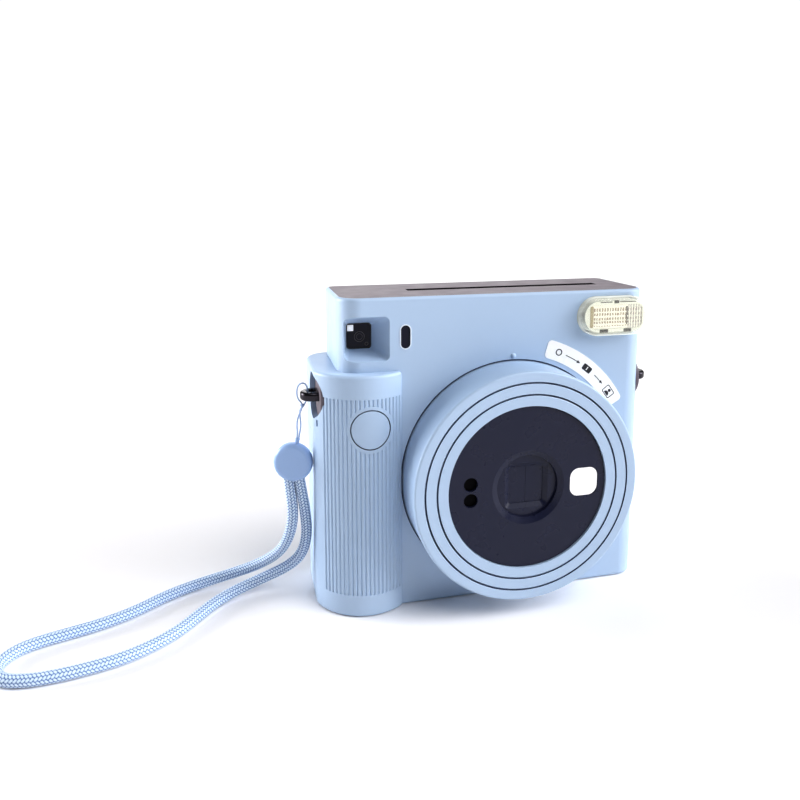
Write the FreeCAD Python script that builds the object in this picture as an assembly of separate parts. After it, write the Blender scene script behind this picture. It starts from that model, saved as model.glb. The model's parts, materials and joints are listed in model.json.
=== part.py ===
import FreeCAD, Part
import math
import os

os.makedirs("parts", exist_ok=True)

# Square-format instant camera. Millimetres, +Z up, the lens looks along -Y.
# Pieces are laid out from the lens axis (x = 0) and the face of the front cover (y = 0);
# save_part() then moves them so that the origin is at the bottom centre of the camera.

V = FreeCAD.Vector
UP = V(0, 0, 1)
ACROSS = V(1, 0, 0)
BACKWARD = V(0, 1, 0)

# ---- casing -----------------------------------------------------------------------------
HEIGHT = 118.6
BODY_LEFT = -66.3
BODY_RIGHT = 55.8
BODY_BACK = 38.7
GRIP_LEFT = -74.9
GRIP_RIGHT = -43.7
GRIP_TOP = 91.5
DEPTH = 57.5
WALL = 2.0
SEAM_Y = 22.0
GRIP_SEAM_Y = 35.5
SEAM_GAP = 0.1
FRONT_CORNER = 8.0
REAR_CORNER = 4.0
GRIP_REAR_CORNER = 9.0
GRIP_FRONT_R = 20.0
GRIP_BLEND_R = 8.0
GRIP_CENTRE = (-56.0, 15.0)
EDGE_ROUND = 1.2
COVER_INSET = 1.25
COVER_SEAT_Z = 116.5

# ---- lens -------------------------------------------------------------------------------
LENS_Z = 49.56
LENS_FRONT_Y = -17.3
RING_R = 43.25
RING_HOLE_R = 43.55
GROOVE_1_R = 39.12
GROOVE_2_R = 34.70
GROOVE_HALF = 0.18
FACE_R = 30.6
FACE_Y = -16.6
FACE_PLATE_BACK = -13.7
BARREL_BACK = 5.5
BLADE_Y = (-13.5, -12.9)
BULKHEAD_Y = (-12.6, -11.4)
COVER_OPENING = (13.4, 13.8)
COVER_FUNNEL = 1.7
MIRROR_X = 22.0
MIRROR_SIZE = (11.0, 10.7)
MIRROR_CORNER = 3.4
SENSOR_X = -22.1
SENSOR_STEP = 3.0
SENSOR_R = 2.5

# ---- film path --------------------------------------------------------------------------
FILM_Y = 19.5
SLOT_CENTRE_X = 3.2
SLOT_LENGTH = 79.0
SLOT_WIDTH = 3.8
SLOT_LIP = 0.55
CHASSIS_FRONT = 16.9
CHASSIS_BACK = 36.0
ROLLER_Z = 109.0
ROLLER_R = 3.5
ROLLER_OFFSET = 3.6
ROLLER_X = (-38.8, 43.8)
GEAR_MODULE = 0.5
ROLLER_TEETH = 24
IDLER_TEETH = 20
PINION_TEETH = 10
NIP_TEETH = 12
MOTOR_AXIS = (9.0, 95.3)

# ---- doors, button, lugs ----------------------------------------------------------------
DOOR_X = (-46.0, 53.6)
DOOR_Z = (6.0, 106.0)
DOOR_GAP = 0.3
DOOR_INNER_Y = 36.9
DOOR_HINGE = (51.2, 38.0)
KNUCKLE_R = 2.2
DOOR_PIN_R = 1.0
BUTTON = (-55.8, 71.6)
BUTTON_R = 7.05
BUTTON_HOLE_R = 7.4
LUG_Y = 11.5
LUG_Z = 81.5
LUG_PLATE_R = 8.5
LUG_REACH = 6.6
LUG_HOLE_R = 2.0
LUG_THICK = 3.3
LUG_FACE_LEFT = -72.9
LUG_FACE_RIGHT = BODY_RIGHT
BATTERY_AXIS = (-64.2, 25.5)
BATTERY_R = 7.8
BATTERY_LENGTH = 27.0
BATTERY_BASE_Z = 10.0
BATTERY_DOOR_Y = (18.0, 34.9)
BATTERY_DOOR_Z = (8.0, 66.0)
BATTERY_HINGE = (-73.0, 33.4)
BATTERY_BARREL_R = 1.45

# ---- strap (already in the row's frame) -------------------------------------------------
STRAP_DIAMETER = 3.8
LOOP_DIAMETER = 0.6

# bottom centre of the camera, lugs included, is the origin
ORIGIN_X = (LUG_FACE_LEFT - LUG_REACH + LUG_FACE_RIGHT + LUG_REACH) / 2
ORIGIN_Y = LENS_FRONT_Y + DEPTH / 2
TO_ROW = V(-ORIGIN_X, -ORIGIN_Y, 0)
DOOR_OUTER_Y = LENS_FRONT_Y + DEPTH


# ---- helpers ----------------------------------------------------------------------------
def save(node, shape):
    if not shape.isValid():
        print("not valid:", node)
    shape.exportStep("parts/" + node + ".step")
    print(node, len(shape.Solids), round(shape.Volume, 1))


def save_part(node, shape):
    save(node, shape.translated(TO_ROW))


def group(shapes):
    return Part.makeCompound(shapes)


def box(x, y, z):
    return Part.makeBox(x[1] - x[0], y[1] - y[0], z[1] - z[0], V(x[0], y[0], z[0]))


def rod_x(y, z, radius, x):
    return Part.makeCylinder(radius, x[1] - x[0], V(x[0], y, z), ACROSS)


def rod_y(x, z, radius, y):
    return Part.makeCylinder(radius, y[1] - y[0], V(x, y[0], z), BACKWARD)


def rod_z(x, y, radius, z):
    return Part.makeCylinder(radius, z[1] - z[0], V(x, y, z[0]), UP)


def tube_y(x, z, inner, outer, y):
    return rod_y(x, z, outer, y).cut(rod_y(x, z, inner, (y[0] - 1, y[1] + 1)))


def corner_arc(centre, radius, start_deg):
    """Quarter circle from start_deg, a quarter turn anticlockwise."""
    points = []
    for part in (0, 45, 90):
        angle = math.radians(start_deg + part)
        points.append(centre + V(radius * math.cos(angle), radius * math.sin(angle), 0))
    return Part.Arc(points[0], points[1], points[2]).toShape()


def rounded_wire(u, v, radii):
    """Rectangle in the XY plane; radii for its (low low, high low, high high, low high) corners."""
    if not isinstance(radii, tuple):
        radii = (radii,) * 4
    centres = (V(u[0] + radii[0], v[0] + radii[0], 0), V(u[1] - radii[1], v[0] + radii[1], 0),
               V(u[1] - radii[2], v[1] - radii[2], 0), V(u[0] + radii[3], v[1] - radii[3], 0))
    arcs = [corner_arc(centres[i], radii[i], 180 + 90 * i) for i in range(4)]
    edges = []
    for i in range(4):
        edges.append(arcs[i])
        start = arcs[i].lastVertex().Point
        end = arcs[(i + 1) % 4].firstVertex().Point
        if start.distanceToPoint(end) > 1e-6:
            edges.append(Part.LineSegment(start, end).toShape())
    return Part.Wire(edges)


def to_xz(shape, y):
    """Turn a shape drawn in the XY plane so that its second axis is Z and its normal is -Y."""
    turned = shape.copy()
    turned.rotate(V(0, 0, 0), ACROSS, 90)
    turned.translate(V(0, y, 0))
    return turned


def plate_z(x, y, radii, z):
    wire = rounded_wire(x, y, radii)
    wire.translate(V(0, 0, z[0]))
    return Part.Face(wire).extrude(V(0, 0, z[1] - z[0]))


def plate_y(x, z, radii, y):
    return Part.Face(to_xz(rounded_wire(x, z, radii), y[0])).extrude(V(0, y[1] - y[0], 0))


def stadium_y(x, z, y):
    return plate_y(x, z, (z[1] - z[0]) / 2 - 0.001 if x[1] - x[0] > z[1] - z[0]
                   else (x[1] - x[0]) / 2 - 0.001, y)


def funnel_y(front, back, grow=0.0):
    """Tapering four-sided block; front and back are (x, z, corner radius, y)."""
    wires = []
    for x, z, radius, y in (front, back):
        wire = rounded_wire((x[0] - grow, x[1] + grow), (z[0] - grow, z[1] + grow), radius + grow)
        wires.append(to_xz(wire, y))
    return Part.makeLoft(wires, True, True)


def around_lens(profile):
    """Solid of revolution about the lens axis from (radius, y) points."""
    points = [V(radius, y, LENS_Z) for radius, y in profile]
    points.append(points[0])
    return Part.Face(Part.makePolygon(points)).revolve(V(0, 0, LENS_Z), BACKWARD, 360)


def edges_at(shape, z):
    """The edges that lie wholly in the level plane at z."""
    found = []
    for edge in shape.Edges:
        if abs(edge.BoundBox.ZMin - z) < 1e-4 and abs(edge.BoundBox.ZMax - z) < 1e-4:
            found.append(edge)
    return found


def circles_at(shape, y, radius):
    """The circular edges about the lens axis at one depth and radius."""
    found = []
    for edge in shape.Edges:
        spread = edge.BoundBox
        if abs(spread.YMin - y) < 1e-4 and abs(spread.YMax - y) < 1e-4:
            if abs(spread.XMax - radius) < 0.01:
                found.append(edge)
    return found


def gear_x(y, z, teeth, module, x, first_tooth_deg=0.0, bore=0.0):
    """Spur gear about an axis along X, with slim straight-sided teeth."""
    root = module * (teeth / 2 - 1.2)
    tip = module * (teeth / 2 + 0.9)
    step = 360.0 / teeth
    points = []
    for tooth in range(teeth):
        middle = first_tooth_deg + tooth * step
        for radius, turn in ((root, -0.27), (tip, -0.11), (tip, 0.11), (root, 0.27)):
            angle = math.radians(middle + turn * step)
            points.append(V(x[0], y + radius * math.cos(angle), z + radius * math.sin(angle)))
    points.append(points[0])
    gear = Part.Face(Part.makePolygon(points)).extrude(V(x[1] - x[0], 0, 0))
    if bore:
        gear = gear.cut(rod_x(y, z, bore, (x[0] - 1, x[1] + 1)))
    return gear


def coil(centre, axis, radius, wire, turns, length):
    """Compression spring as a swept helix, then its flat end rings."""
    helix = Part.makeHelix(length / turns, length, radius)
    start = Part.Wire(Part.makeCircle(wire / 2, V(radius, 0, 0), BACKWARD))
    spring = Part.Wire(helix).makePipeShell([start], True, True)
    spring.Placement = FreeCAD.Placement(centre, FreeCAD.Rotation(UP, axis))
    return spring


# ---- casing outline ---------------------------------------------------------------------
def grip_plan(inset, z):
    """The handgrip's plan: a bowed front, a tight turn into the flat side, a round rear corner."""
    centre_x, centre_y = GRIP_CENTRE
    front = GRIP_FRONT_R - inset
    blend = GRIP_BLEND_R - inset
    rear = GRIP_REAR_CORNER - inset
    left = GRIP_LEFT + inset
    right = GRIP_RIGHT - inset
    back = BODY_BACK - inset
    blend_x = left + blend
    reach = front - blend
    blend_y = centre_y - math.sqrt(reach ** 2 - (centre_x - blend_x) ** 2)
    unit = V(blend_x - centre_x, blend_y - centre_y, 0).normalize()
    tangent = V(blend_x, blend_y, 0) + unit * blend
    start = V(right, centre_y - math.sqrt(front ** 2 - (right - centre_x) ** 2), 0)
    apex = V(centre_x, centre_y - front, 0)
    half = (unit + V(-1, 0, 0)).normalize()
    side = V(left, blend_y, 0)
    blend_middle = V(blend_x, blend_y, 0) + half * blend
    rear_start = V(left, back - rear, 0)
    rear_middle = V(left + rear, back - rear, 0) + V(-1, 1, 0).normalize() * rear
    rear_end = V(left + rear, back, 0)
    corner = V(right, back, 0)
    edges = [Part.Arc(start, apex, tangent).toShape(), Part.Arc(tangent, blend_middle, side).toShape(),
             Part.LineSegment(side, rear_start).toShape(),
             Part.Arc(rear_start, rear_middle, rear_end).toShape(),
             Part.LineSegment(rear_end, corner).toShape(), Part.LineSegment(corner, start).toShape()]
    wire = Part.Wire(edges)
    wire.translate(V(0, 0, z[0]))
    return Part.Face(wire).extrude(V(0, 0, z[1] - z[0]))


def body_solid(inset):
    radii = (FRONT_CORNER - inset, FRONT_CORNER - inset, REAR_CORNER - inset, REAR_CORNER - inset)
    upper = plate_z((BODY_LEFT + inset, BODY_RIGHT - inset), (inset, BODY_BACK - inset), radii,
                    (inset, HEIGHT - inset))
    grip = grip_plan(inset, (inset, GRIP_TOP - inset))
    if inset == 0:
        upper = upper.makeFillet(EDGE_ROUND, edges_at(upper, HEIGHT) + edges_at(upper, 0))
        grip = grip.makeFillet(EDGE_ROUND, edges_at(grip, GRIP_TOP) + edges_at(grip, 0))
    return upper.fuse(grip).removeSplitter()


OUTER = body_solid(0)
SHELL = OUTER.cut(body_solid(WALL))
FAR = 200.0

VIEW_FRONT = ((-65.1, -47.8), (95.4, 111.8), 2.0, 0.0)
VIEW_BACK = ((-62.1, -52.9), (98.5, 108.0), 1.2, 10.0)
EYEPIECE_X = (-63.6, -51.4)
EYEPIECE_Z = (97.2, 109.4)
METER_X = (-43.7, -40.1)
METER_Z = (99.7, 108.3)
FLASH_X = (26.0, 55.0)
FLASH_Z = (101.2, 116.2)
FLASH_FRONT = -4.8
FLASH_BACK = 6.0
SCREWS = ((-50.0, 9.0), (-60.0, 86.0), (-30.0, 112.0), (40.0, 112.0))
SCREW_R = 0.95
SCREW_HEAD_R = 1.8
LATCH_X = (-54.5, -47.0)
LATCH_Z = (50.0, 66.0)


def grown(span, by):
    return (span[0] - by, span[1] + by)


def top_pocket():
    inset = COVER_INSET - SEAM_GAP
    front = FRONT_CORNER - inset
    rear = REAR_CORNER - inset
    return plate_z(grown((BODY_LEFT, BODY_RIGHT), -inset), (inset, BODY_BACK - inset),
                   (front, front, rear, rear), (COVER_SEAT_Z, HEIGHT + 1))


def grip_region():
    return box((-FAR, GRIP_RIGHT), (-FAR, GRIP_SEAM_Y), (-FAR, GRIP_TOP))


def lug_pad(face, outward):
    """Thickening behind a strap lug, from its plate's back inwards."""
    inner = face - outward * 3.0
    outer = face - outward * 0.2
    return rod_x(LUG_Y, LUG_Z, LUG_PLATE_R + 1.2, (min(inner, outer), max(inner, outer)))


def lug_seat(face, outward):
    """Round recess for the plate, and the slot that the lug's tail passes through."""
    bottom = face - outward * 1.4
    outer = face + outward * 10
    seat = rod_x(LUG_Y, LUG_Z, LUG_PLATE_R + 0.15, (min(bottom, outer), max(bottom, outer)))
    tail = box((face - 6, face + 6), (LUG_Y - 2.6, LUG_Y + 2.6),
               (LUG_Z - LUG_THICK / 2 - 0.05, LUG_Z + LUG_THICK / 2 + 0.05))
    return seat.fuse(tail)


def make_front_cover():
    cover = SHELL.common(box((-FAR, FAR), (-FAR, SEAM_Y - SEAM_GAP), (-FAR, FAR)))
    cover = cover.cut(grip_region())
    cover = cover.fuse(funnel_y(VIEW_FRONT, VIEW_BACK, WALL * 0.6).common(OUTER))
    cover = cover.fuse(lug_pad(LUG_FACE_RIGHT, 1).common(OUTER))
    bump = Part.makeSphere(1.3, V(0, 0.7, LENS_Z + 45.2))
    cover = cover.fuse(bump.common(box((-FAR, FAR), (-2, 1.5), (0, FAR))))
    cutters = [funnel_y(VIEW_FRONT, VIEW_BACK), top_pocket(), lug_seat(LUG_FACE_RIGHT, 1),
               rod_y(0, LENS_Z, RING_HOLE_R, (-1, WALL + 1)),
               stadium_y(METER_X, METER_Z, (-1, WALL + 1)),
               stadium_y(grown(FLASH_X, 0.15), grown(FLASH_Z, 0.15), (-8, FLASH_BACK + 0.2))]
    return cover.cut(cutters).removeSplitter()


def make_rear_cover():
    behind = box((-FAR, FAR), (SEAM_Y + SEAM_GAP, FAR), (-FAR, FAR))
    cover = SHELL.common(behind).cut(box((-FAR, GRIP_RIGHT + 0.1), (-FAR, GRIP_SEAM_Y + SEAM_GAP),
                                         (-FAR, GRIP_TOP + 0.1)))
    for x, z in SCREWS:
        cover = cover.fuse(rod_y(x, z, 2.6, (31.0, BODY_BACK - 0.5)))
    arms = []
    for low, high in BODY_KNUCKLES:
        arms.append(rod_z(DOOR_HINGE[0], DOOR_HINGE[1], KNUCKLE_R, (low, high)))
        arms.append(box((DOOR_HINGE[0], BODY_RIGHT - 1.0), (35.8, BODY_BACK), (low, high)).common(OUTER))
    cutters = [box(DOOR_X, (35.0, FAR), DOOR_Z), top_pocket(),
               plate_y(EYEPIECE_X, EYEPIECE_Z, 2.0, (35.0, 50.0)),
               box(grown(LATCH_X, -1.6), (35.0, FAR), (LATCH_Z[0] - 2.0, LATCH_Z[1] - 3.0))]
    for x, z in SCREWS:
        cutters.append(rod_y(x, z, SCREW_R + 0.1, (30.0, FAR)))
        cutters.append(rod_y(x, z, SCREW_HEAD_R + 0.3, (BODY_BACK - 1.0, FAR)))
    cover = cover.cut(cutters).fuse(arms)
    pin = rod_z(DOOR_HINGE[0], DOOR_HINGE[1], DOOR_PIN_R + 0.03, (0, HEIGHT))
    return cover.cut(pin).removeSplitter()


RIB_PITCH = 1.6
RIB_GROOVE = 0.58
RIB_Z = (8.5, 82.8)
RIB_LAST_ANGLE = -144.0


def rib_grooves():
    """Upright V grooves side by side round the grip's bowed front."""
    centre_x, centre_y = GRIP_CENTRE
    bow_step = math.degrees(RIB_PITCH / GRIP_FRONT_R)
    first = math.degrees(math.acos((GRIP_RIGHT - 0.9 - centre_x) / GRIP_FRONT_R))
    margin = rod_y(BUTTON[0], BUTTON[1], BUTTON_HOLE_R + 1.3, (-20, 10))
    grooves = []
    for count in range(int((-first - RIB_LAST_ANGLE) / bow_step) + 1):
        degrees = -first - count * bow_step
        a = math.radians(degrees)
        at = V(centre_x + GRIP_FRONT_R * math.cos(a), centre_y + GRIP_FRONT_R * math.sin(a), RIB_Z[0])
        groove = Part.makeBox(RIB_GROOVE, RIB_GROOVE, RIB_Z[1] - RIB_Z[0],
                              V(-RIB_GROOVE / 2, -RIB_GROOVE / 2, 0))
        groove.rotate(V(0, 0, 0), UP, degrees + 45)
        groove.translate(at)
        if abs(at.x - BUTTON[0]) < BUTTON_HOLE_R + 2.5:
            groove = groove.cut(margin)
        grooves.append(groove)
    return grooves


def make_grip_cover():
    cover = SHELL.common(grip_region())
    cover = cover.fuse(lug_pad(LUG_FACE_LEFT, -1).common(OUTER))
    for x, z in RELEASE_POSTS:
        cover = cover.fuse(rod_y(x, z, 0.9, (-2.4, RELEASE_BOARD_Y)))
    opening = box((-FAR, -70.0), BATTERY_DOOR_Y, BATTERY_DOOR_Z)
    notch = box((-76.0, -73.6), (5.2, 6.8), (70.9, 73.3))
    stubs = rod_z(BATTERY_HINGE[0], BATTERY_HINGE[1], 0.63,
                  (BATTERY_DOOR_Z[0] - 1.6, BATTERY_DOOR_Z[1] + 1.6))
    cutters = [lug_seat(LUG_FACE_LEFT, -1), opening, notch, stubs,
               rod_y(BUTTON[0], BUTTON[1], BUTTON_HOLE_R, (-20, 5))]
    return cover.cut(cutters + rib_grooves()).removeSplitter()


def make_top_cover():
    front = FRONT_CORNER - COVER_INSET
    rear = REAR_CORNER - COVER_INSET
    plate = plate_z(grown((BODY_LEFT, BODY_RIGHT), -COVER_INSET), (COVER_INSET, BODY_BACK - COVER_INSET),
                    (front, front, rear, rear), (COVER_SEAT_Z, HEIGHT))
    half = SLOT_LENGTH / 2
    slot = box((SLOT_CENTRE_X - half, SLOT_CENTRE_X + half),
               (FILM_Y - SLOT_WIDTH / 2, FILM_Y + SLOT_WIDTH / 2), (100, 130))
    plate = plate.cut(slot)
    mouth = [edge for edge in edges_at(plate, HEIGHT)
             if abs(edge.CenterOfMass.y - FILM_Y) < SLOT_WIDTH and edge.BoundBox.XMin > BODY_LEFT + 10
             and edge.BoundBox.XMax < BODY_RIGHT - 10]
    return plate.makeChamfer(SLOT_LIP, mouth)


def make_dial_label():
    """Thin curved sticker beside the lens ring, drawn as a ring sector with rounded ends."""
    inner, outer, depth = 45.6, 52.8, 0.15
    start, end = 16.0, 61.0
    ring = tube_y(0, LENS_Z, inner, outer, (-depth, 0))
    low = math.radians(start)
    high = math.radians(end)
    wedge = Part.makePolygon([V(0, -1, LENS_Z), V(80 * math.sin(low), -1, LENS_Z + 80 * math.cos(low)),
                              V(80 * math.sin(high), -1, LENS_Z + 80 * math.cos(high)),
                              V(0, -1, LENS_Z)])
    label = ring.common(Part.Face(wedge).extrude(V(0, 2, 0)))
    upright = [edge for edge in label.Edges
               if edge.Length < depth * 1.1 and edge.BoundBox.YLength > depth * 0.9]
    return label.makeFillet(1.6, upright)


# ---- lens assembly ----------------------------------------------------------------------
def barrel(inner, outer, back, soften):
    ring = around_lens([(inner, LENS_FRONT_Y), (outer, LENS_FRONT_Y), (outer, back), (inner, back)])
    ring = ring.makeFillet(soften, circles_at(ring, LENS_FRONT_Y, outer))
    return ring.makeFillet(0.25, circles_at(ring, LENS_FRONT_Y, inner))


def make_lens_ring():
    ring = barrel(GROOVE_1_R + GROOVE_HALF, RING_R, 4.2, 0.8)
    flange = around_lens([(GROOVE_1_R + 1, 2.4), (RING_R + 2.05, 2.4), (RING_R + 2.05, 4.2),
                          (GROOVE_1_R + 1, 4.2)])
    return ring.fuse(flange).removeSplitter()


def make_inner_barrel():
    outer = GROOVE_2_R - GROOVE_HALF
    ring = around_lens([
        (FACE_R, LENS_FRONT_Y), (outer, LENS_FRONT_Y), (outer, BARREL_BACK), (25.5, BARREL_BACK),
        (25.5, 3.5), (32.0, 3.5), (32.0, BULKHEAD_Y[1]), (16.0, BULKHEAD_Y[1]),
        (16.0, BULKHEAD_Y[0]), (29.5, BULKHEAD_Y[0]), (29.5, -15.0), (FACE_R, -15.0)])
    ring = ring.makeFillet(0.3, circles_at(ring, LENS_FRONT_Y, outer))
    holes = [rod_y(x, z, GUIDE_ROD_R + 0.3, (0, 10)) for x, z in guide_places()]
    return ring.cut(holes)


GUIDE_RADIUS = 28.5
GUIDE_ROD_R = 1.2


def guide_places():
    places = []
    for degrees in (90, 210, 330):
        a = math.radians(degrees)
        places.append((GUIDE_RADIUS * math.cos(a), LENS_Z + GUIDE_RADIUS * math.sin(a)))
    return places


def make_face_plate():
    plate = rod_y(0, LENS_Z, FACE_R - 0.15, (FACE_Y, -15.0))
    plate = plate.makeFillet(0.25, circles_at(plate, FACE_Y, FACE_R - 0.15))
    plate = plate.fuse(rod_y(0, LENS_Z, 16.0, (-15.2, FACE_PLATE_BACK)))
    floor_y = FACE_Y + 1.9
    bowl = around_lens([(0, FACE_Y - 1), (14.0, FACE_Y - 1), (14.0, FACE_Y), (11.8, FACE_Y + 0.9),
                        (11.7, floor_y), (0, floor_y)])
    wide, high = COVER_OPENING
    inner = ((-wide / 2, wide / 2), (LENS_Z - high / 2, LENS_Z + high / 2))
    window = funnel_y((grown(inner[0], COVER_FUNNEL), grown(inner[1], COVER_FUNNEL), 2.2, floor_y),
                      (inner[0], inner[1], 1.0, FACE_PLATE_BACK))
    wide, high = MIRROR_SIZE
    pocket = plate_y((MIRROR_X - wide / 2 - 0.1, MIRROR_X + wide / 2 + 0.1),
                     (LENS_Z - high / 2 - 0.1, LENS_Z + high / 2 + 0.1), MIRROR_CORNER + 0.1,
                     (FACE_Y - 1, FACE_Y + 0.7))
    holes = [rod_y(SENSOR_X, LENS_Z + side * SENSOR_STEP, SENSOR_R + 0.1, (-20, -10))
             for side in (-1, 1)]
    return plate.cut([bowl, window, pocket] + holes).removeSplitter()


def make_mirror():
    wide, high = MIRROR_SIZE
    glass = plate_y((MIRROR_X - wide / 2, MIRROR_X + wide / 2), (LENS_Z - high / 2, LENS_Z + high / 2),
                    MIRROR_CORNER, (FACE_Y + 0.05, FACE_Y + 0.7))
    dome_r = 90.0
    dome = Part.makeSphere(dome_r, V(MIRROR_X, FACE_Y + 0.05 + dome_r, LENS_Z))
    return glass.common(dome)


def make_cover_blade(side):
    x = (0.04, 8.4) if side > 0 else (-8.4, -0.04)
    return box(x, BLADE_Y, (LENS_Z - 8.2, LENS_Z + 8.2))


SHUTTER_PIVOT_X = 13.0
SHUTTER_GAP_Y = (-8.6, -7.6)


def make_lens_mount():
    mount = around_lens([(0, BULKHEAD_Y[0]), (15.8, BULKHEAD_Y[0]), (15.8, BULKHEAD_Y[1]),
                         (19.0, BULKHEAD_Y[1]), (19.0, -2.5), (0, -2.5)])
    for low in (LENS_Z - 9.6, LENS_Z + 8.4):
        mount = mount.fuse(box((-15.5, 15.5), (-13.6, BULKHEAD_Y[0]), (low, low + 1.2)))
    gap = rod_y(0, LENS_Z, 18.6, SHUTTER_GAP_Y).common(box((-6.6, FAR), (-FAR, FAR), (-FAR, FAR)))
    gap = gap.cut(rod_y(SHUTTER_PIVOT_X, LENS_Z, 0.8, (-20, 20)))
    bore = around_lens([(0, -14), (6.2, -14), (6.2, -9.2), (5.5, -9.2), (5.5, -6.3), (6.2, -6.3),
                        (6.2, -2), (0, -2)])
    return mount.cut([gap, bore])


def make_lens(front, back, bulge):
    """Lens element: a disc with a bulged front and a flat back."""
    edge_r = 6.1
    dome_r = (edge_r ** 2 + bulge ** 2) / (2 * bulge)
    disc = rod_y(0, LENS_Z, edge_r, (front, back))
    return disc.common(Part.makeSphere(dome_r, V(0, front + dome_r, LENS_Z)))


def make_shutter_blade():
    y = (SHUTTER_GAP_Y[0] + 0.25, SHUTTER_GAP_Y[1] - 0.25)
    blade = rod_y(0, LENS_Z, 6.0, y)
    blade = blade.fuse(box((4.0, SHUTTER_PIVOT_X), y, (LENS_Z - 1.6, LENS_Z + 1.6)))
    blade = blade.fuse(rod_y(SHUTTER_PIVOT_X, LENS_Z, 2.2, y))
    return blade.cut(rod_y(SHUTTER_PIVOT_X, LENS_Z, 0.85, (-20, 20))).removeSplitter()


def make_light_tunnel():
    wide = 33.5
    narrow = 23.0
    front = ((-narrow, narrow), (LENS_Z - narrow, LENS_Z + narrow), 2.0, 8.5)
    back = ((-wide, wide), (LENS_Z - wide, LENS_Z + wide), 2.0, CHASSIS_FRONT)
    tunnel = funnel_y(front, back).cut(funnel_y(front, back, -1.2))
    flange = rod_y(0, LENS_Z, 34.2, (7.0, 8.6))
    hole = 21.8
    flange = flange.cut(box((-hole, hole), (0, 20), (LENS_Z - hole, LENS_Z + hole)))
    return tunnel.fuse(flange).removeSplitter()


# ---- film chamber, rollers and drive ----------------------------------------------------
def make_chassis():
    frame = box((-43, 43), (CHASSIS_FRONT, CHASSIS_BACK), (7.5, 103.5))
    pocket = box((-40.5, 40.5), (18.5, FAR), (9.5, 102.5))
    gate = box((-32, 32), (0, 30), (LENS_Z - 32, LENS_Z + 32))
    exit_slot = box((-38, 40.5), (18.5, 21.2), (100, 110))
    return frame.cut([pocket, gate, exit_slot])


def make_film_pack():
    shell = plate_y((-39.5, 39.5), (11, 101), 2.0, (18.8, 33.9))
    hollow = box((-37.6, 37.6), (20.2, 32.4), (12.6, 99.4))
    window = box((-31.5, 31.5), (0, 25), (LENS_Z - 31.5, LENS_Z + 31.5))
    mouth = box((-36.5, 36.5), (20.2, 21.4), (99, 110))
    stack = box((-36, 36), (20.5, 25.5), (12.9, 98.9))
    return group([shell.cut([hollow, window, mouth]), stack])


def make_roller(y, gear):
    shaft = rod_x(y, ROLLER_Z, 1.5, (-44.6, 49.6 if gear else 46.2))
    body = rod_x(y, ROLLER_Z, ROLLER_R, ROLLER_X)
    left_gear = gear_x(y, ROLLER_Z, NIP_TEETH, 2 * ROLLER_OFFSET / NIP_TEETH, (-44.4, -41.6),
                       0 if gear else 180.0 / NIP_TEETH)
    roller = body.fuse([shaft, left_gear])
    if gear:
        roller = roller.fuse(gear_x(y, ROLLER_Z, ROLLER_TEETH, GEAR_MODULE, (46.6, 49.4)))
    return roller


def pitch_r(teeth):
    return GEAR_MODULE * teeth / 2


def idler_axis():
    """Where the idler meets both the motor's pinion and the front roller's gear."""
    y0, z0 = MOTOR_AXIS
    y1, z1 = FILM_Y - ROLLER_OFFSET, ROLLER_Z
    near = pitch_r(PINION_TEETH) + pitch_r(IDLER_TEETH)
    far = pitch_r(ROLLER_TEETH) + pitch_r(IDLER_TEETH)
    span = math.hypot(y1 - y0, z1 - z0)
    along = (near ** 2 - far ** 2 + span ** 2) / (2 * span)
    off = math.sqrt(near ** 2 - along ** 2)
    unit_y = (y1 - y0) / span
    unit_z = (z1 - z0) / span
    return y0 + along * unit_y + off * unit_z, z0 + along * unit_z - off * unit_y


def mesh_angle(driver_axis, driver_teeth, driver_first, axis, teeth):
    """Angle of a gear's first tooth that puts a tooth gap where the driver has a tooth."""
    toward = math.degrees(math.atan2(axis[1] - driver_axis[1], axis[0] - driver_axis[0]))
    phase = ((toward - driver_first) * driver_teeth / 360.0) % 1.0
    return toward + 180.0 + (phase + 0.5) * 360.0 / teeth


ROLLER_AXIS = (FILM_Y - ROLLER_OFFSET, ROLLER_Z)
IDLER_AXIS = idler_axis()
IDLER_FIRST = mesh_angle(ROLLER_AXIS, ROLLER_TEETH, 0.0, IDLER_AXIS, IDLER_TEETH)
PINION_FIRST = mesh_angle(IDLER_AXIS, IDLER_TEETH, IDLER_FIRST, MOTOR_AXIS, PINION_TEETH)


def make_roller_bracket():
    sides = []
    for x in ((-40.8, -39.3), (44.3, 45.8)):
        side = plate_z((x[0], x[1]), (9.5, 28.6), 0.3, (103.8, 114.4))
        for sign in (-1, 1):
            side = side.cut(rod_x(FILM_Y + sign * ROLLER_OFFSET, ROLLER_Z, 1.55, (-60, 60)))
        sides.append(side)
    tie = box((-40.8, 45.8), (27.2, 28.6), (103.8, 114.4))
    idler_y, idler_z = IDLER_AXIS
    arm = box((44.3, 45.8), (idler_y - 2.5, idler_y + 2.5), (idler_z - 2.5, 104.5))
    stud = rod_x(idler_y, idler_z, 1.0, (45.0, 49.8))
    return sides[0].fuse([sides[1], tie, arm, stud]).removeSplitter()


def make_motor():
    y, z = MOTOR_AXIS
    can = rod_x(y, z, 5.5, (26.0, 44.1))
    nose = rod_x(y, z, 2.0, (44.1, 45.6))
    return can.fuse(nose).cut(rod_x(y, z, 0.55, (40, 50)))


def make_motor_pinion():
    y, z = MOTOR_AXIS
    gear = gear_x(y, z, PINION_TEETH, GEAR_MODULE, (46.6, 49.4), PINION_FIRST)
    return gear.fuse(rod_x(y, z, 0.5, (41, 49.8)))


def make_film_claw():
    strip = box((43.4, 44.1), (18.6, 21.4), (36.0, 96.0))
    foot = box((43.4, 44.1), (18.6, 26.0), (36.0, 40.0))
    return strip.fuse(foot).removeSplitter()


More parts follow.
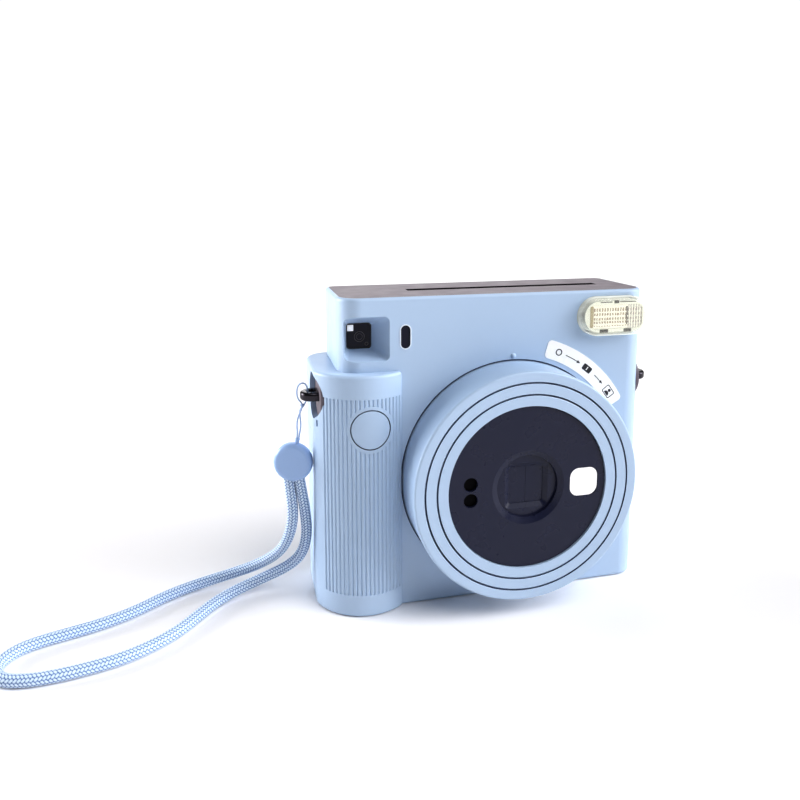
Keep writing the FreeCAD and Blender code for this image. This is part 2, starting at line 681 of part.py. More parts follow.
# ---- back door --------------------------------------------------------------------------
BODY_KNUCKLES = ((14.0, 20.0), (53.0, 59.0), (92.0, 98.0))
DOOR_KNUCKLES = ((20.3, 52.7), (59.3, 91.7))
FILM_WINDOW_X = (-24.0, -12.0)
FILM_WINDOW_Z = (34.0, 66.0)
COUNTER_X = (14.0, 24.0)
COUNTER_Z = (84.0, 90.0)


def make_back_door():
    plate = plate_y((DOOR_X[0] + DOOR_GAP, DOOR_HINGE[0] - 2.5),
                    grown(DOOR_Z, -DOOR_GAP), 1.0, (DOOR_INNER_Y, DOOR_OUTER_Y))
    rim = [edge for edge in plate.Edges
           if edge.BoundBox.YMin > DOOR_OUTER_Y - 0.01 and edge.BoundBox.XMin < DOOR_HINGE[0] - 3]
    plate = plate.makeFillet(0.8, rim)
    hollow = box((DOOR_X[0] + 3, DOOR_HINGE[0] - 6), (DOOR_INNER_Y - 1, DOOR_INNER_Y + 1.4),
                 grown(DOOR_Z, -3.5))
    plate = plate.cut(hollow)
    x, y = DOOR_HINGE
    for low, high in DOOR_KNUCKLES:
        plate = plate.fuse(rod_z(x, y, KNUCKLE_R, (low, high)))
        plate = plate.fuse(box((x - 3.0, x), (DOOR_INNER_Y, DOOR_OUTER_Y), (low, high)))
    cutters = [rod_z(x, y, DOOR_PIN_R + 0.05, (0, HEIGHT)),
               plate_y(FILM_WINDOW_X, FILM_WINDOW_Z, 2.0, (30, 50)),
               plate_y(COUNTER_X, COUNTER_Z, 1.5, (30, 50))]
    return plate.cut(cutters).removeSplitter()


def make_film_windows():
    panes = []
    for x, z, radius in ((FILM_WINDOW_X, FILM_WINDOW_Z, 2.0), (COUNTER_X, COUNTER_Z, 1.5)):
        panes.append(plate_y(grown(x, -0.05), grown(z, -0.05), radius, (38.5, DOOR_OUTER_Y - 0.3)))
    return group(panes)


def make_pressure_springs():
    """Two bowed leaf springs on the door that push the film pack forward."""
    leaves = []
    for x in ((-8.0, 0.0), (26.0, 34.0)):
        ends_y = DOOR_INNER_Y + 1.4
        points = []
        for shift in (0.0, -0.4):
            points.append((V(x[0], ends_y + shift, 25), V(x[0], 34.6 + shift, 52), V(x[0], ends_y + shift, 79)))
        front = Part.Arc(points[1][0], points[1][1], points[1][2]).toShape()
        back = Part.Arc(points[0][2], points[0][1], points[0][0]).toShape()
        top = Part.LineSegment(points[1][2], points[0][2]).toShape()
        low = Part.LineSegment(points[0][0], points[1][0]).toShape()
        face = Part.Face(Part.Wire([front, top, back, low]))
        leaves.append(face.extrude(V(x[1] - x[0], 0, 0)))
    return group(leaves)


def make_door_latch():
    pad = plate_y(LATCH_X, LATCH_Z, 1.5, (38.9, 39.9))
    for count in range(4):
        z = LATCH_Z[0] + 3.5 + count * 3.0
        pad = pad.fuse(box(grown(LATCH_X, -1.5), (39.9, 40.15), (z - 0.6, z + 0.6)))
    neck = box(grown(LATCH_X, -1.9), (36.0, 39.0), (LATCH_Z[0] + 4.5, LATCH_Z[1] - 3.4))
    inner = box(LATCH_X, (35.3, 36.4), (LATCH_Z[0] + 1.0, LATCH_Z[1] - 1.0))
    return pad.fuse([neck, inner]).removeSplitter()


# ---- viewfinder, meter and flash --------------------------------------------------------
def make_viewfinder_tube():
    x = (-63.0, -52.0)
    z = (97.8, 108.8)
    tube = plate_y(x, z, 1.2, (11.6, 36.0))
    return tube.cut(plate_y(grown(x, -1.0), grown(z, -1.0), 0.6, (10.0, 40.0)))


def make_eyecup():
    outer = plate_y(grown(EYEPIECE_X, -0.1), grown(EYEPIECE_Z, -0.1), 1.9, (36.2, 40.1))
    rim = [edge for edge in outer.Edges if edge.BoundBox.YMin > 40.09]
    outer = outer.makeFillet(0.9, rim)
    return outer.cut(plate_y(grown(EYEPIECE_X, -1.9), grown(EYEPIECE_Z, -1.9), 1.0, (30.0, 50.0)))


def make_flash_cover():
    dome = stadium_y(FLASH_X, FLASH_Z, (FLASH_FRONT, FLASH_BACK))
    rim = [edge for edge in dome.Edges if edge.BoundBox.YMax < FLASH_FRONT + 0.01]
    dome = dome.makeFillet(2.2, rim)
    return dome.cut(stadium_y(grown(FLASH_X, -1.2), grown(FLASH_Z, -1.2), (FLASH_FRONT + 1.3, 20)))


FLASH_WINDOW_X = (29.7, 51.8)
FLASH_WINDOW_Z = (103.9, 113.3)


def make_flash_reflector():
    front = (FLASH_WINDOW_X, FLASH_WINDOW_Z, 2.4, -2.9)
    back = (grown(FLASH_WINDOW_X, -2.4), (106.6, 110.6), 1.0, 3.6)
    return funnel_y(front, back, 0.5).cut(funnel_y(front, back))


def make_capacitor():
    can = rod_x(6.6, 103.4, 4.1, (-34.0, -4.0))
    return can.fuse(rod_x(6.6, 103.4, 3.6, (-34.8, -3.2)))


# ---- button, power and lugs -------------------------------------------------------------
RELEASE_BOARD_Y = 5.6
RELEASE_POSTS = [(BUTTON[0] + dx, BUTTON[1] + dz) for dx in (-6.7, 6.7) for dz in (-6.7, 6.7)]


def make_shutter_button():
    x, z = BUTTON
    cap = rod_y(x, z, BUTTON_R, (-8.0, -0.5)).common(OUTER)
    return cap.fuse([rod_y(x, z, 7.9, (-0.6, 0.4)), rod_y(x, z, 1.8, (0.4, 2.8))]).removeSplitter()


def make_release_board():
    x, z = BUTTON
    board = box((x - 7.6, x + 7.6), (RELEASE_BOARD_Y, 6.8), (z - 7.6, z + 7.6))
    switch = rod_y(x, z, 1.6, (4.2, RELEASE_BOARD_Y))
    return board.fuse(switch)


def make_battery_cover():
    y = (BATTERY_DOOR_Y[0] + 0.25, BATTERY_HINGE[1] - 0.2)
    z = grown(BATTERY_DOOR_Z, -0.25)
    panel = SHELL.common(box((-FAR, -65.0), y, z))
    x, axis_y = BATTERY_HINGE
    barrel_rod = rod_z(x, axis_y, BATTERY_BARREL_R, z)
    stubs = rod_z(x, axis_y, 0.6, grown(BATTERY_DOOR_Z, 1.4))
    return panel.fuse([barrel_rod, stubs]).removeSplitter()


def make_battery_holder():
    x, y = BATTERY_AXIS
    tray = box((-72.4, -54.9), (16.4, 34.6), (7.6, 67.6)).common(body_solid(WALL + 0.3))
    tray = tray.cut(rod_z(BATTERY_HINGE[0], BATTERY_HINGE[1], BATTERY_BARREL_R + 0.5, (0, HEIGHT)))
    tray = tray.cut(box((-80, -71.0), (30.0, 40.0), (0, HEIGHT)))
    top = BATTERY_BASE_Z + 2 * BATTERY_LENGTH + 1.2
    tray = tray.cut(rod_z(x, y, BATTERY_R + 0.3, (BATTERY_BASE_Z - 0.6, top)))
    return tray.cut(box((-80, x), (y - 8.1, 32.0), (BATTERY_BASE_Z - 0.6, top)))


def make_batteries():
    x, y = BATTERY_AXIS
    cells = []
    for count in range(2):
        base = BATTERY_BASE_Z + count * (BATTERY_LENGTH + 0.2)
        cell = rod_z(x, y, BATTERY_R, (base, base + BATTERY_LENGTH - 1.0))
        cells.append(cell.fuse(rod_z(x, y, 3.0, (base, base + BATTERY_LENGTH))))
    return group(cells)


def make_battery_contacts():
    x, y = BATTERY_AXIS
    top = BATTERY_BASE_Z + 2 * BATTERY_LENGTH + 1.2
    low = box((x - 5, x + 5), (y - 5, y + 5), (BATTERY_BASE_Z - 0.6, BATTERY_BASE_Z - 0.2))
    high = box((x - 5, x + 5), (y - 5, y + 5), (top - 0.5, top - 0.1))
    return group([low, high])


def make_lug_plate(face, outward):
    y, z = LUG_Y, LUG_Z
    x = sorted((face, face - outward * 1.4))
    plate = rod_x(y, z, LUG_PLATE_R, x)
    rim = [edge for edge in plate.Edges if abs(edge.BoundBox.XMin - face) < 1e-4
           and abs(edge.BoundBox.XMax - face) < 1e-4]
    plate = plate.makeFillet(0.4, rim)
    slot = box((face - 6, face + 6), (y - 2.6, y + 2.6),
               (z - LUG_THICK / 2 - 0.05, z + LUG_THICK / 2 + 0.05))
    return plate.cut(slot)


def make_lug(face, outward):
    """Flat eye with an upright hole, on a tail that passes through plate and casing."""
    z = (LUG_Z - LUG_THICK / 2, LUG_Z + LUG_THICK / 2)
    eye_r = 4.5
    centre_x = face + outward * (LUG_REACH - eye_r)
    round_end = rod_z(centre_x, LUG_Y, eye_r, z)
    root = sorted((face, centre_x))
    outer_half = sorted((centre_x, centre_x + outward * 10))
    eye = round_end.common(box(outer_half, (-FAR, FAR), (0, FAR)))
    eye = eye.fuse(box(root, (LUG_Y - eye_r, LUG_Y + eye_r), z)).removeSplitter()
    outline = [edge for edge in edges_at(eye, z[0]) + edges_at(eye, z[1])
               if abs(edge.BoundBox.XMin - face) > 0.01 or abs(edge.BoundBox.XMax - face) > 0.01]
    eye = eye.makeFillet(1.1, outline)
    tail = sorted((face + outward * 0.5, face - outward * 4.6))
    hole_x = face + outward * (LUG_REACH - 2.1 - LUG_HOLE_R)
    eye = eye.fuse(box(tail, (LUG_Y - 2.5, LUG_Y + 2.5), z))
    return eye.cut(rod_z(hole_x, LUG_Y, LUG_HOLE_R, (z[0] - 1, z[1] + 1))).removeSplitter()


def make_screws():
    screws = []
    for x, z in SCREWS:
        head = rod_y(x, z, SCREW_HEAD_R, (BODY_BACK - 1.0, BODY_BACK - 0.1))
        cross = box((x - 1.1, x + 1.1), (BODY_BACK - 0.6, BODY_BACK), (z - 0.2, z + 0.2))
        cross = cross.fuse(box((x - 0.2, x + 0.2), (BODY_BACK - 0.6, BODY_BACK), (z - 1.1, z + 1.1)))
        shank = rod_y(x, z, SCREW_R, (31.5, BODY_BACK - 1.0))
        screws.append(head.cut(cross).fuse(shank))
    return group(screws)


# ---- strap ------------------------------------------------------------------------------
def rounded_route(points):
    """Straight runs joined by tangent arcs, each arc as large as its two runs allow."""
    edges = []
    start = points[0]
    radii = []
    for before, here, after in zip(points, points[1:], points[2:]):
        inward = (before - here).normalize()
        onward = (after - here).normalize()
        half_turn = (math.pi - inward.getAngle(onward)) / 2
        cut = 0.45 * min(before.distanceToPoint(here), here.distanceToPoint(after))
        radius = cut / math.tan(half_turn)
        radii.append(round(radius, 1))
        arc_start = here + inward * cut
        arc_end = here + onward * cut
        bisector = (inward + onward).normalize()
        middle = here + bisector * (radius / math.cos(half_turn) - radius)
        edges.append(Part.LineSegment(start, arc_start).toShape())
        edges.append(Part.Arc(arc_start, middle, arc_end).toShape())
        start = arc_end
    edges.append(Part.LineSegment(start, points[-1]).toShape())
    print("bend radii", radii)
    return Part.Wire(edges)


def cord_tube(route, diameter):
    points = [V(x, y, z) for x, y, z in route]
    path = rounded_route(points)
    direction = points[1] - points[0]
    section = Part.Wire(Part.makeCircle(diameter / 2, points[0], direction))
    tube = path.makePipeShell([section], True, False)
    expected = math.pi * diameter ** 2 / 4 * path.Length
    print("cord length", round(path.Length, 1), "volume over expected", round(tube.Volume / expected, 4))
    return tube


TAG_CENTRE = V(-73.8, 1.6, 55.6)
TAG_R = 7.4
TAG_THICK = 5.0
TAG_TURN_DEG = -18.0

STRAP_ROUTE = [
    (-75.6, 2.2, 50.0), (-74.9, 2.0, 43.0), (-74.2, 1.8, 35.0), (-75.4, 3.1, 26.5),
    (-78.8, 7.6, 17.4), (-86.9, 14.6, 9.3), (-99.0, 19.0, 4.0), (-112.0, 18.0, 1.92),
    (-123.4, 12.0, 1.92), (-132.5, 4.7, 1.92), (-143.0, -0.8, 1.92), (-153.4, -4.0, 1.92),
    (-163.5, -7.0, 1.92), (-170.5, -11.0, 1.92), (-174.0, -18.5, 1.92), (-170.0, -25.5, 1.92),
    (-162.0, -27.6, 1.92), (-152.5, -27.2, 1.92), (-143.0, -25.6, 1.92), (-133.5, -23.0, 1.92),
    (-125.0, -18.6, 1.92), (-117.0, -12.4, 1.92), (-110.4, -4.2, 1.92), (-104.6, 3.4, 1.92),
    (-96.5, 9.0, 2.6), (-86.0, 11.4, 5.0), (-76.4, 9.4, 9.6), (-70.9, 5.4, 16.3),
    (-69.0, 3.0, 25.5), (-69.6, 1.9, 34.5), (-70.8, 1.0, 43.0), (-71.9, 0.9, 50.0)]

LOOP_ROUTE = [
    (-72.2, 1.0, 61.6), (-71.4, 1.0, 66.0), (-70.7, 0.9, 69.6), (-71.0, 0.6, 73.0),
    (-71.2, 0.35, 76.0), (-69.0, 0.3, 78.3), (-67.9, 0.1, 81.0), (-68.2, 0.05, 85.0),
    (-69.6, 0.0, 86.4), (-71.5, 0.0, 85.6), (-72.2, -0.1, 83.0), (-71.8, -0.3, 80.2),
    (-70.1, -0.5, 78.5), (-70.6, -0.5, 76.0), (-71.9, -0.1, 73.2), (-72.3, 0.5, 70.0),
    (-72.0, 0.9, 66.0), (-72.9, 1.2, 61.6)]


def make_tag():
    """Round bead that joins the thin lug loop to the braided strap."""
    bead = rod_y(0, 0, TAG_R, (-TAG_THICK / 2, TAG_THICK / 2))
    bead = bead.makeFillet(1.9, [edge for edge in bead.Edges if edge.BoundBox.YLength < 1e-4])
    bead.rotate(V(0, 0, 0), UP, TAG_TURN_DEG)
    bead.translate(TAG_CENTRE)
    return bead


# ---- write every piece ------------------------------------------------------------------
save_part("front_cover", make_front_cover())
save_part("rear_cover", make_rear_cover())
save_part("grip_cover", make_grip_cover())
save_part("top_cover", make_top_cover())
save_part("dial_label", make_dial_label())

save_part("lens_ring", make_lens_ring())
save_part("middle_barrel", barrel(GROOVE_2_R + GROOVE_HALF, GROOVE_1_R - GROOVE_HALF, BARREL_BACK, 0.3))
save_part("inner_barrel", make_inner_barrel())
save_part("face_plate", make_face_plate())
save_part("selfie_mirror", make_mirror())
save_part("sensor_windows", group([rod_y(SENSOR_X, LENS_Z + side * SENSOR_STEP, SENSOR_R, (-15.4, -14.8))
                                   for side in (-1, 1)]))
save_part("cover_blade_left", make_cover_blade(-1))
save_part("cover_blade_right", make_cover_blade(1))
save_part("lens_mount", make_lens_mount())
save_part("front_lens", make_lens(-12.0, -9.3, 0.9))
save_part("rear_lens", make_lens(-6.2, -3.6, 0.6))
save_part("shutter_blade", make_shutter_blade())
save_part("ring_retainer", tube_y(0, LENS_Z, GROOVE_1_R + GROOVE_HALF, 46.5, (4.5, 6.3)))
save_part("guide_rods", group([rod_y(x, z, GUIDE_ROD_R, (-9.8, 7.0)) for x, z in guide_places()]))
save_part("light_tunnel", make_light_tunnel())

save_part("chassis", make_chassis())
save_part("light_seal", box((-43, 43), (CHASSIS_BACK, 36.7), (7.5, 103.5)).cut(
    box((-41, 41), (0, FAR), (9.2, 101.8))))
save_part("film_pack", make_film_pack())
save_part("roller_bracket", make_roller_bracket())
save_part("front_roller", make_roller(FILM_Y - ROLLER_OFFSET, True))
save_part("rear_roller", make_roller(FILM_Y + ROLLER_OFFSET, False))
save_part("idler_gear", gear_x(IDLER_AXIS[0], IDLER_AXIS[1], IDLER_TEETH, GEAR_MODULE, (46.6, 49.4),
                               IDLER_FIRST, 1.05))
save_part("film_motor", make_motor())
save_part("motor_pinion", make_motor_pinion())
save_part("film_claw", make_film_claw())

save_part("back_door", make_back_door())
save_part("door_hinge_pin", rod_z(DOOR_HINGE[0], DOOR_HINGE[1], DOOR_PIN_R,
                                  (BODY_KNUCKLES[0][0] - 1.0, BODY_KNUCKLES[-1][1])))
save_part("film_windows", make_film_windows())
save_part("pressure_springs", make_pressure_springs())
save_part("door_latch", make_door_latch())

save_part("viewfinder_window", plate_y((-63.0, -52.0), (97.8, 108.8), 1.6, (10.0, 11.4)))
save_part("viewfinder_tube", make_viewfinder_tube())
save_part("viewfinder_objective", plate_y((-61.9, -53.1), (98.9, 107.7), 0.6, (14.0, 16.0)))
save_part("viewfinder_eyepiece", plate_y(grown(EYEPIECE_X, -2.0), grown(EYEPIECE_Z, -2.0), 0.9, (36.6, 38.2)))
save_part("eyecup", make_eyecup())
save_part("metering_window", stadium_y(grown(METER_X, -0.05), grown(METER_Z, -0.05), (0.3, 2.4)))
save_part("flash_cover", make_flash_cover())
save_part("flash_reflector", make_flash_reflector())
save_part("flash_tube", rod_x(0.8, 108.6, 1.3, (33.6, 49.4)))
save_part("flash_capacitor", make_capacitor())
save_part("main_board", box((-37, 23), (10.9, 12.1), (97.4, 115.4)))

save_part("shutter_button", make_shutter_button())
save_part("button_spring", coil(V(BUTTON[0], 0.7, BUTTON[1]), BACKWARD, 3.0, 0.5, 5, 4.6))
save_part("release_board", make_release_board())
save_part("battery_cover", make_battery_cover())
save_part("battery_holder", make_battery_holder())
save_part("batteries", make_batteries())
save_part("battery_contacts", make_battery_contacts())
save_part("lug_plates", group([make_lug_plate(LUG_FACE_LEFT, -1), make_lug_plate(LUG_FACE_RIGHT, 1)]))
save_part("strap_lug_left", make_lug(LUG_FACE_LEFT, -1))
save_part("strap_lug_right", make_lug(LUG_FACE_RIGHT, 1))
save_part("case_screws", make_screws())

save("strap_loop", cord_tube(LOOP_ROUTE, LOOP_DIAMETER))
save("strap_tag", make_tag())
save("strap_cord", cord_tube(STRAP_ROUTE, STRAP_DIAMETER))
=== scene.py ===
"""Looks of an instant camera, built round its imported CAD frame. Metres, +Z up, lens towards -Y."""
import json
import math

import bpy
import numpy as np
from mathutils import Matrix, Vector


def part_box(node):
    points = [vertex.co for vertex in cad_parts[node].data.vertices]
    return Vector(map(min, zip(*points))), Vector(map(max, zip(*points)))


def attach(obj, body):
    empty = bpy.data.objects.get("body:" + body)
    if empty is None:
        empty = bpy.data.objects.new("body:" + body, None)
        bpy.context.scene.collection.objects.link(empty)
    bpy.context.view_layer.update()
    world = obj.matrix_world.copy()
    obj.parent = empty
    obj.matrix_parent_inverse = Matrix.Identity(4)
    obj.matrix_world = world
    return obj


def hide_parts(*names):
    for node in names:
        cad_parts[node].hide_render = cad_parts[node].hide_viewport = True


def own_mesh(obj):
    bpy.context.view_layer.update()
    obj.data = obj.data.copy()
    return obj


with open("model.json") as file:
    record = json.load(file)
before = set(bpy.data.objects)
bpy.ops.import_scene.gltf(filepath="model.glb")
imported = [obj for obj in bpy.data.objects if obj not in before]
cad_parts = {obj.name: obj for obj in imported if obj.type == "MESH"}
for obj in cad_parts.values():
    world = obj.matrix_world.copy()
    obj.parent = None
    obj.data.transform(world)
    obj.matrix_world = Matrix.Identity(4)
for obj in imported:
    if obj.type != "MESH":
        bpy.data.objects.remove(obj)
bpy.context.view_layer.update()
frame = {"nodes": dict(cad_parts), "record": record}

MM = 0.001
NODES = frame["nodes"]
HOUSING = "camera_body"

# ---------------------------------------------------------------- camera

CAMERA_AT = Vector((-92.85, -253.65, 154.5)) * MM
CAMERA_YAW = math.radians(13.2)
CAMERA_PITCH = math.radians(7.58)
CAMERA_ROLL = math.radians(-0.14)
FOCAL_LENGTH = 31.48
SHIFT = (0.0021, -0.1379)


def make_camera():
    """The view from in front, a little to the left and above."""
    data = bpy.data.cameras.new("camera")
    data.sensor_width = 36.0
    data.lens = FOCAL_LENGTH
    data.shift_x, data.shift_y = SHIFT
    data.clip_start = 0.01
    camera = bpy.data.objects.new("camera", data)
    bpy.context.scene.collection.objects.link(camera)
    forward = Vector((
        math.sin(CAMERA_YAW) * math.cos(CAMERA_PITCH),
        math.cos(CAMERA_YAW) * math.cos(CAMERA_PITCH),
        -math.sin(CAMERA_PITCH)))
    turn = forward.to_track_quat("-Z", "Y").to_matrix() @ Matrix.Rotation(CAMERA_ROLL, 3, "Z")
    camera.matrix_world = Matrix.Translation(CAMERA_AT) @ turn.to_4x4()
    bpy.context.scene.camera = camera


# ---------------------------------------------------------------- shader helpers


class Shader:
    """A node material with one Principled shader, and short ways to add the nodes that vary it."""

    def __init__(self, name, colour, roughness, **sockets):
        self.material = bpy.data.materials.new(name)
        self.material.use_nodes = True
        self.tree = self.material.node_tree
        self.base = self.tree.nodes["Principled BSDF"]
        self.colour = (*colour, 1.0)
        self.base.inputs["Base Color"].default_value = self.colour
        self.base.inputs["Roughness"].default_value = roughness
        for socket, value in sockets.items():
            self.base.inputs[socket.replace("_", " ")].default_value = value
        self.roughness = roughness
        self.place = self.add("ShaderNodeTexCoord").outputs["Object"]

    def add(self, kind, **settings):
        node = self.tree.nodes.new(kind)
        for key, value in settings.items():
            setattr(node, key, value)
        return node

    def link(self, source, target):
        self.tree.links.new(source, target)

    def math(self, operation, first, second=0.0, clamp=False):
        node = self.add("ShaderNodeMath", operation=operation, use_clamp=clamp)
        for slot, value in enumerate((first, second)):
            if isinstance(value, (int, float)):
                node.inputs[slot].default_value = value
            else:
                self.link(value, node.inputs[slot])
        return node.outputs[0]

    def noise(self, size, detail=2.0):
        """Noise whose blobs are about size metres across."""
        texture = self.add("ShaderNodeTexNoise")
        texture.inputs["Scale"].default_value = 1.0 / size
        texture.inputs["Detail"].default_value = detail
        self.link(self.place, texture.inputs["Vector"])
        return texture.outputs["Fac"]

    def spread(self, value, low, high):
        """Maps 0.3-0.7, where noise mostly lies, to low-high."""
        node = self.add("ShaderNodeMapRange")
        node.inputs["From Min"].default_value = 0.3
        node.inputs["From Max"].default_value = 0.7
        node.inputs["To Min"].default_value = low
        node.inputs["To Max"].default_value = high
        self.link(value, node.inputs["Value"])
        return node.outputs[0]

    def tint(self, amount, other, size):
        """Drifts the base colour towards another by up to amount, in blobs of that size."""
        self.mix_in(self.spread(self.noise(size), 0.0, amount), other)

    def mix_in(self, factor, other):
        mix = self.add("ShaderNodeMix", data_type="RGBA")
        self.link(factor, mix.inputs["Factor"])
        before = self.base.inputs["Base Color"]
        if before.links:
            self.link(before.links[0].from_socket, mix.inputs["A"])
        else:
            mix.inputs["A"].default_value = self.colour
        mix.inputs["B"].default_value = (*other, 1.0)
        self.link(mix.outputs["Result"], before)

    def mottle(self, size, by):
        """Varies roughness by plus or minus by."""
        value = self.spread(self.noise(size), self.roughness - by, self.roughness + by)
        self.link(value, self.base.inputs["Roughness"])

    def bump(self, height, depth, strength=1.0):
        """Stacks a bump of that depth in metres on what is there."""
        node = self.add("ShaderNodeBump")
        node.inputs["Strength"].default_value = strength
        node.inputs["Distance"].default_value = depth
        self.link(height, node.inputs["Height"])
        before = self.base.inputs["Normal"]
        if before.links:
            self.link(before.links[0].from_socket, node.inputs["Normal"])
        self.link(node.outputs["Normal"], before)


GRAIN_SIZE = 0.25 * MM
GRAIN_DEPTH = 0.012 * MM
DRIFT_SIZE = 30 * MM
SHEEN_SIZE = 6 * MM


def moulded(name, colour, deep, roughness, depth=GRAIN_DEPTH, **sockets):
    """Satin moulded plastic: fine spark-eroded grain, slow drift of tone, uneven sheen."""
    shader = Shader(name, colour, roughness, **sockets)
    shader.tint(0.35, deep, DRIFT_SIZE)
    shader.mottle(SHEEN_SIZE, 0.05)
    shader.bump(shader.noise(GRAIN_SIZE, 3.0), depth)
    return shader


def see_through(name, tint, body_colour, least, most):
    """Thin clear plastic: what is behind shows through it, less so where it is seen at a slant; it also
    gives off a faint painted glow in its body colour.
    """
    # The emission is a painted glow: the cover is no lamp.
    shader = Shader(name, body_colour, 0.05, Specular_IOR_Level=0.6,
                    Emission_Color=(*body_colour, 1.0), Emission_Strength=0.4)
    shader.tint(0.3, tint, 8 * MM)
    clear = shader.add("ShaderNodeBsdfTransparent")
    clear.inputs["Color"].default_value = (*tint, 1.0)
    facing = shader.add("ShaderNodeLayerWeight").outputs["Facing"]
    amount = shader.add("ShaderNodeMapRange")
    amount.inputs["To Min"].default_value = least
    amount.inputs["To Max"].default_value = most
    shader.link(shader.math("POWER", facing, 1.6), amount.inputs["Value"])
    mix = shader.add("ShaderNodeMixShader")
    shader.link(amount.outputs[0], mix.inputs["Fac"])
    shader.link(clear.outputs[0], mix.inputs[1])
    shader.link(shader.base.outputs[0], mix.inputs[2])
    shader.link(mix.outputs[0], shader.tree.nodes["Material Output"].inputs["Surface"])
    return shader


# ---------------------------------------------------------------- materials

BLUE = (0.458, 0.58, 0.748)
BLUE_DEEP = (0.432, 0.555, 0.728)
LENS = (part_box("face_plate")[0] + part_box("face_plate")[1]) / 2
BUTTON = (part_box("shutter_button")[0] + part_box("shutter_button")[1]) / 2
RING_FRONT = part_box("lens_ring")[0].y
FRONT_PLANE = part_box("dial_label")[1].y
RING_RADIUS = 43.25 * MM
BUTTON_RADIUS = 7.05 * MM
GAP_SHADE = (0.002, 0.01, 0.06)
SLOT_OFFSET = 3.2 * MM


def paint_gap_shade(shader, centre, radii, half, deepest):
    """Painted shade: a dark line along round gaps, on what lies in front of the deepest y."""
    split = shader.add("ShaderNodeSeparateXYZ")
    shader.link(shader.place, split.inputs[0])
    across = shader.math("SUBTRACT", split.outputs["X"], centre.x)
    up = shader.math("SUBTRACT", split.outputs["Z"], centre.z)
    across_squared = shader.math("MULTIPLY", across, across)
    up_squared = shader.math("MULTIPLY", up, up)
    radius = shader.math("SQRT", shader.math("ADD", across_squared, up_squared))
    near = None
    for gap in radii:
        off = shader.math("ABSOLUTE", shader.math("SUBTRACT", radius, gap))
        line = shader.math("LESS_THAN", off, half)
        near = line if near is None else shader.math("ADD", near, line, clamp=True)
    front = shader.math("LESS_THAN", split.outputs["Y"], deepest)
    shader.mix_in(shader.math("MULTIPLY", near, front), GAP_SHADE)


def slot_centre():
    """Where the film leaves the top: x right of the pack's middle, y between the two rollers."""
    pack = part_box("film_pack")
    rollers = [corner.y for name in ("front_roller", "rear_roller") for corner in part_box(name)]
    return (pack[0].x + pack[1].x) / 2 + SLOT_OFFSET, sum(rollers) / 4


def paint_slot_shade(shader):
    """Painted shade: black on the walls in the film slot and on the inner half of its chamfer."""
    middle_x, middle_y = slot_centre()
    split = shader.add("ShaderNodeSeparateXYZ")
    shader.link(shader.place, split.inputs[0])
    inside = None
    for axis, centre, half in (("X", middle_x, 40.0 * MM), ("Y", middle_y, 2.35 * MM)):
        off = shader.math("ABSOLUTE", shader.math("SUBTRACT", split.outputs[axis], centre))
        within = shader.math("LESS_THAN", off, half)
        inside = within if inside is None else shader.math("MULTIPLY", inside, within)
    shader.mix_in(inside, (0.002, 0.002, 0.004))
    dull = shader.math("SUBTRACT", 0.25, shader.math("MULTIPLY", inside, 0.23))
    shader.link(dull, shader.base.inputs["Specular IOR Level"])


# Slot, colour, deeper colour, roughness, and what differs from a plain satin moulding.
POLISHED = 0.0
MOULDED = [
    ("body_blue", BLUE, BLUE_DEEP, 0.42, {}),
    ("ring_blue", BLUE, BLUE_DEEP, 0.36, {}),
    ("top_taupe", (0.19, 0.162, 0.188), (0.18, 0.152, 0.178), 0.5, {"Specular_IOR_Level": 0.4}),
    ("black_plastic", (0.012, 0.012, 0.016), (0.02, 0.02, 0.024), 0.42, {}),
    ("face_black", (0.012, 0.015, 0.042), (0.016, 0.017, 0.04), 0.3,
     {"depth": 0.004 * MM, "Specular_IOR_Level": 0.36}),
    ("dark_metal", (0.05, 0.045, 0.055), (0.03, 0.03, 0.04), 0.22, {"Metallic": 0.8}),
    ("steel", (0.55, 0.55, 0.57), (0.48, 0.48, 0.5), 0.28, {"Metallic": 1.0}),
    ("can_metal", (0.66, 0.66, 0.68), (0.58, 0.58, 0.6), 0.3, {"Metallic": 1.0}),
    ("mirror", (0.95, 0.95, 0.96), (0.92, 0.92, 0.94), 0.05, {"depth": POLISHED, "Metallic": 1.0}),
    ("clear", (0.96, 0.98, 0.97), (0.93, 0.97, 0.95), 0.03,
     {"depth": POLISHED, "Transmission_Weight": 1.0, "IOR": 1.49}),
    ("smoked", (0.01, 0.011, 0.024), (0.012, 0.012, 0.026), 0.08,
     {"depth": POLISHED, "Specular_IOR_Level": 0.2}),
    ("label_white", (0.96, 0.955, 0.95), (0.93, 0.93, 0.93), 0.3, {}),
    ("board_green", (0.02, 0.12, 0.05), (0.015, 0.09, 0.04), 0.35, {}),
    ("gear_white", (0.75, 0.74, 0.68), (0.68, 0.67, 0.6), 0.4, {}),
    ("rubber_black", (0.015, 0.015, 0.016), (0.025, 0.025, 0.026), 0.7, {}),
    ("tag_blue", (0.38, 0.53, 0.81), (0.35, 0.5, 0.78), 0.34, {})]


def material_set():
    made = {name: moulded(name, colour, deep, roughness, **more)
            for name, colour, deep, roughness, more in MOULDED}
    made["flash_clear"] = see_through("flash_clear", tint=(0.99, 0.992, 0.975),
                                      body_colour=(0.98, 0.985, 0.89), least=0.03, most=0.9)
    # Painted shade: black in the film slot and on its chamfer.
    paint_slot_shade(made["top_taupe"])
    # Painted shade in the gaps: round the ring's barrels, round the ring, and round the shutter button.
    barrels = [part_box(name)[1].x - LENS.x for name in ("middle_barrel", "inner_barrel")]
    paint_gap_shade(made["ring_blue"], LENS, [edge + 0.18 * MM for edge in barrels], 0.32 * MM,
              RING_FRONT + 0.4 * MM)
    paint_gap_shade(made["body_blue"], LENS, [RING_RADIUS + 0.25 * MM], 0.3 * MM, FRONT_PLANE + 1.0 * MM)
    paint_gap_shade(made["body_blue"], BUTTON, [BUTTON_RADIUS + 0.2 * MM], 0.2 * MM, BUTTON.y)
    return {name: shader.material for name, shader in made.items()}


MATERIALS = material_set()


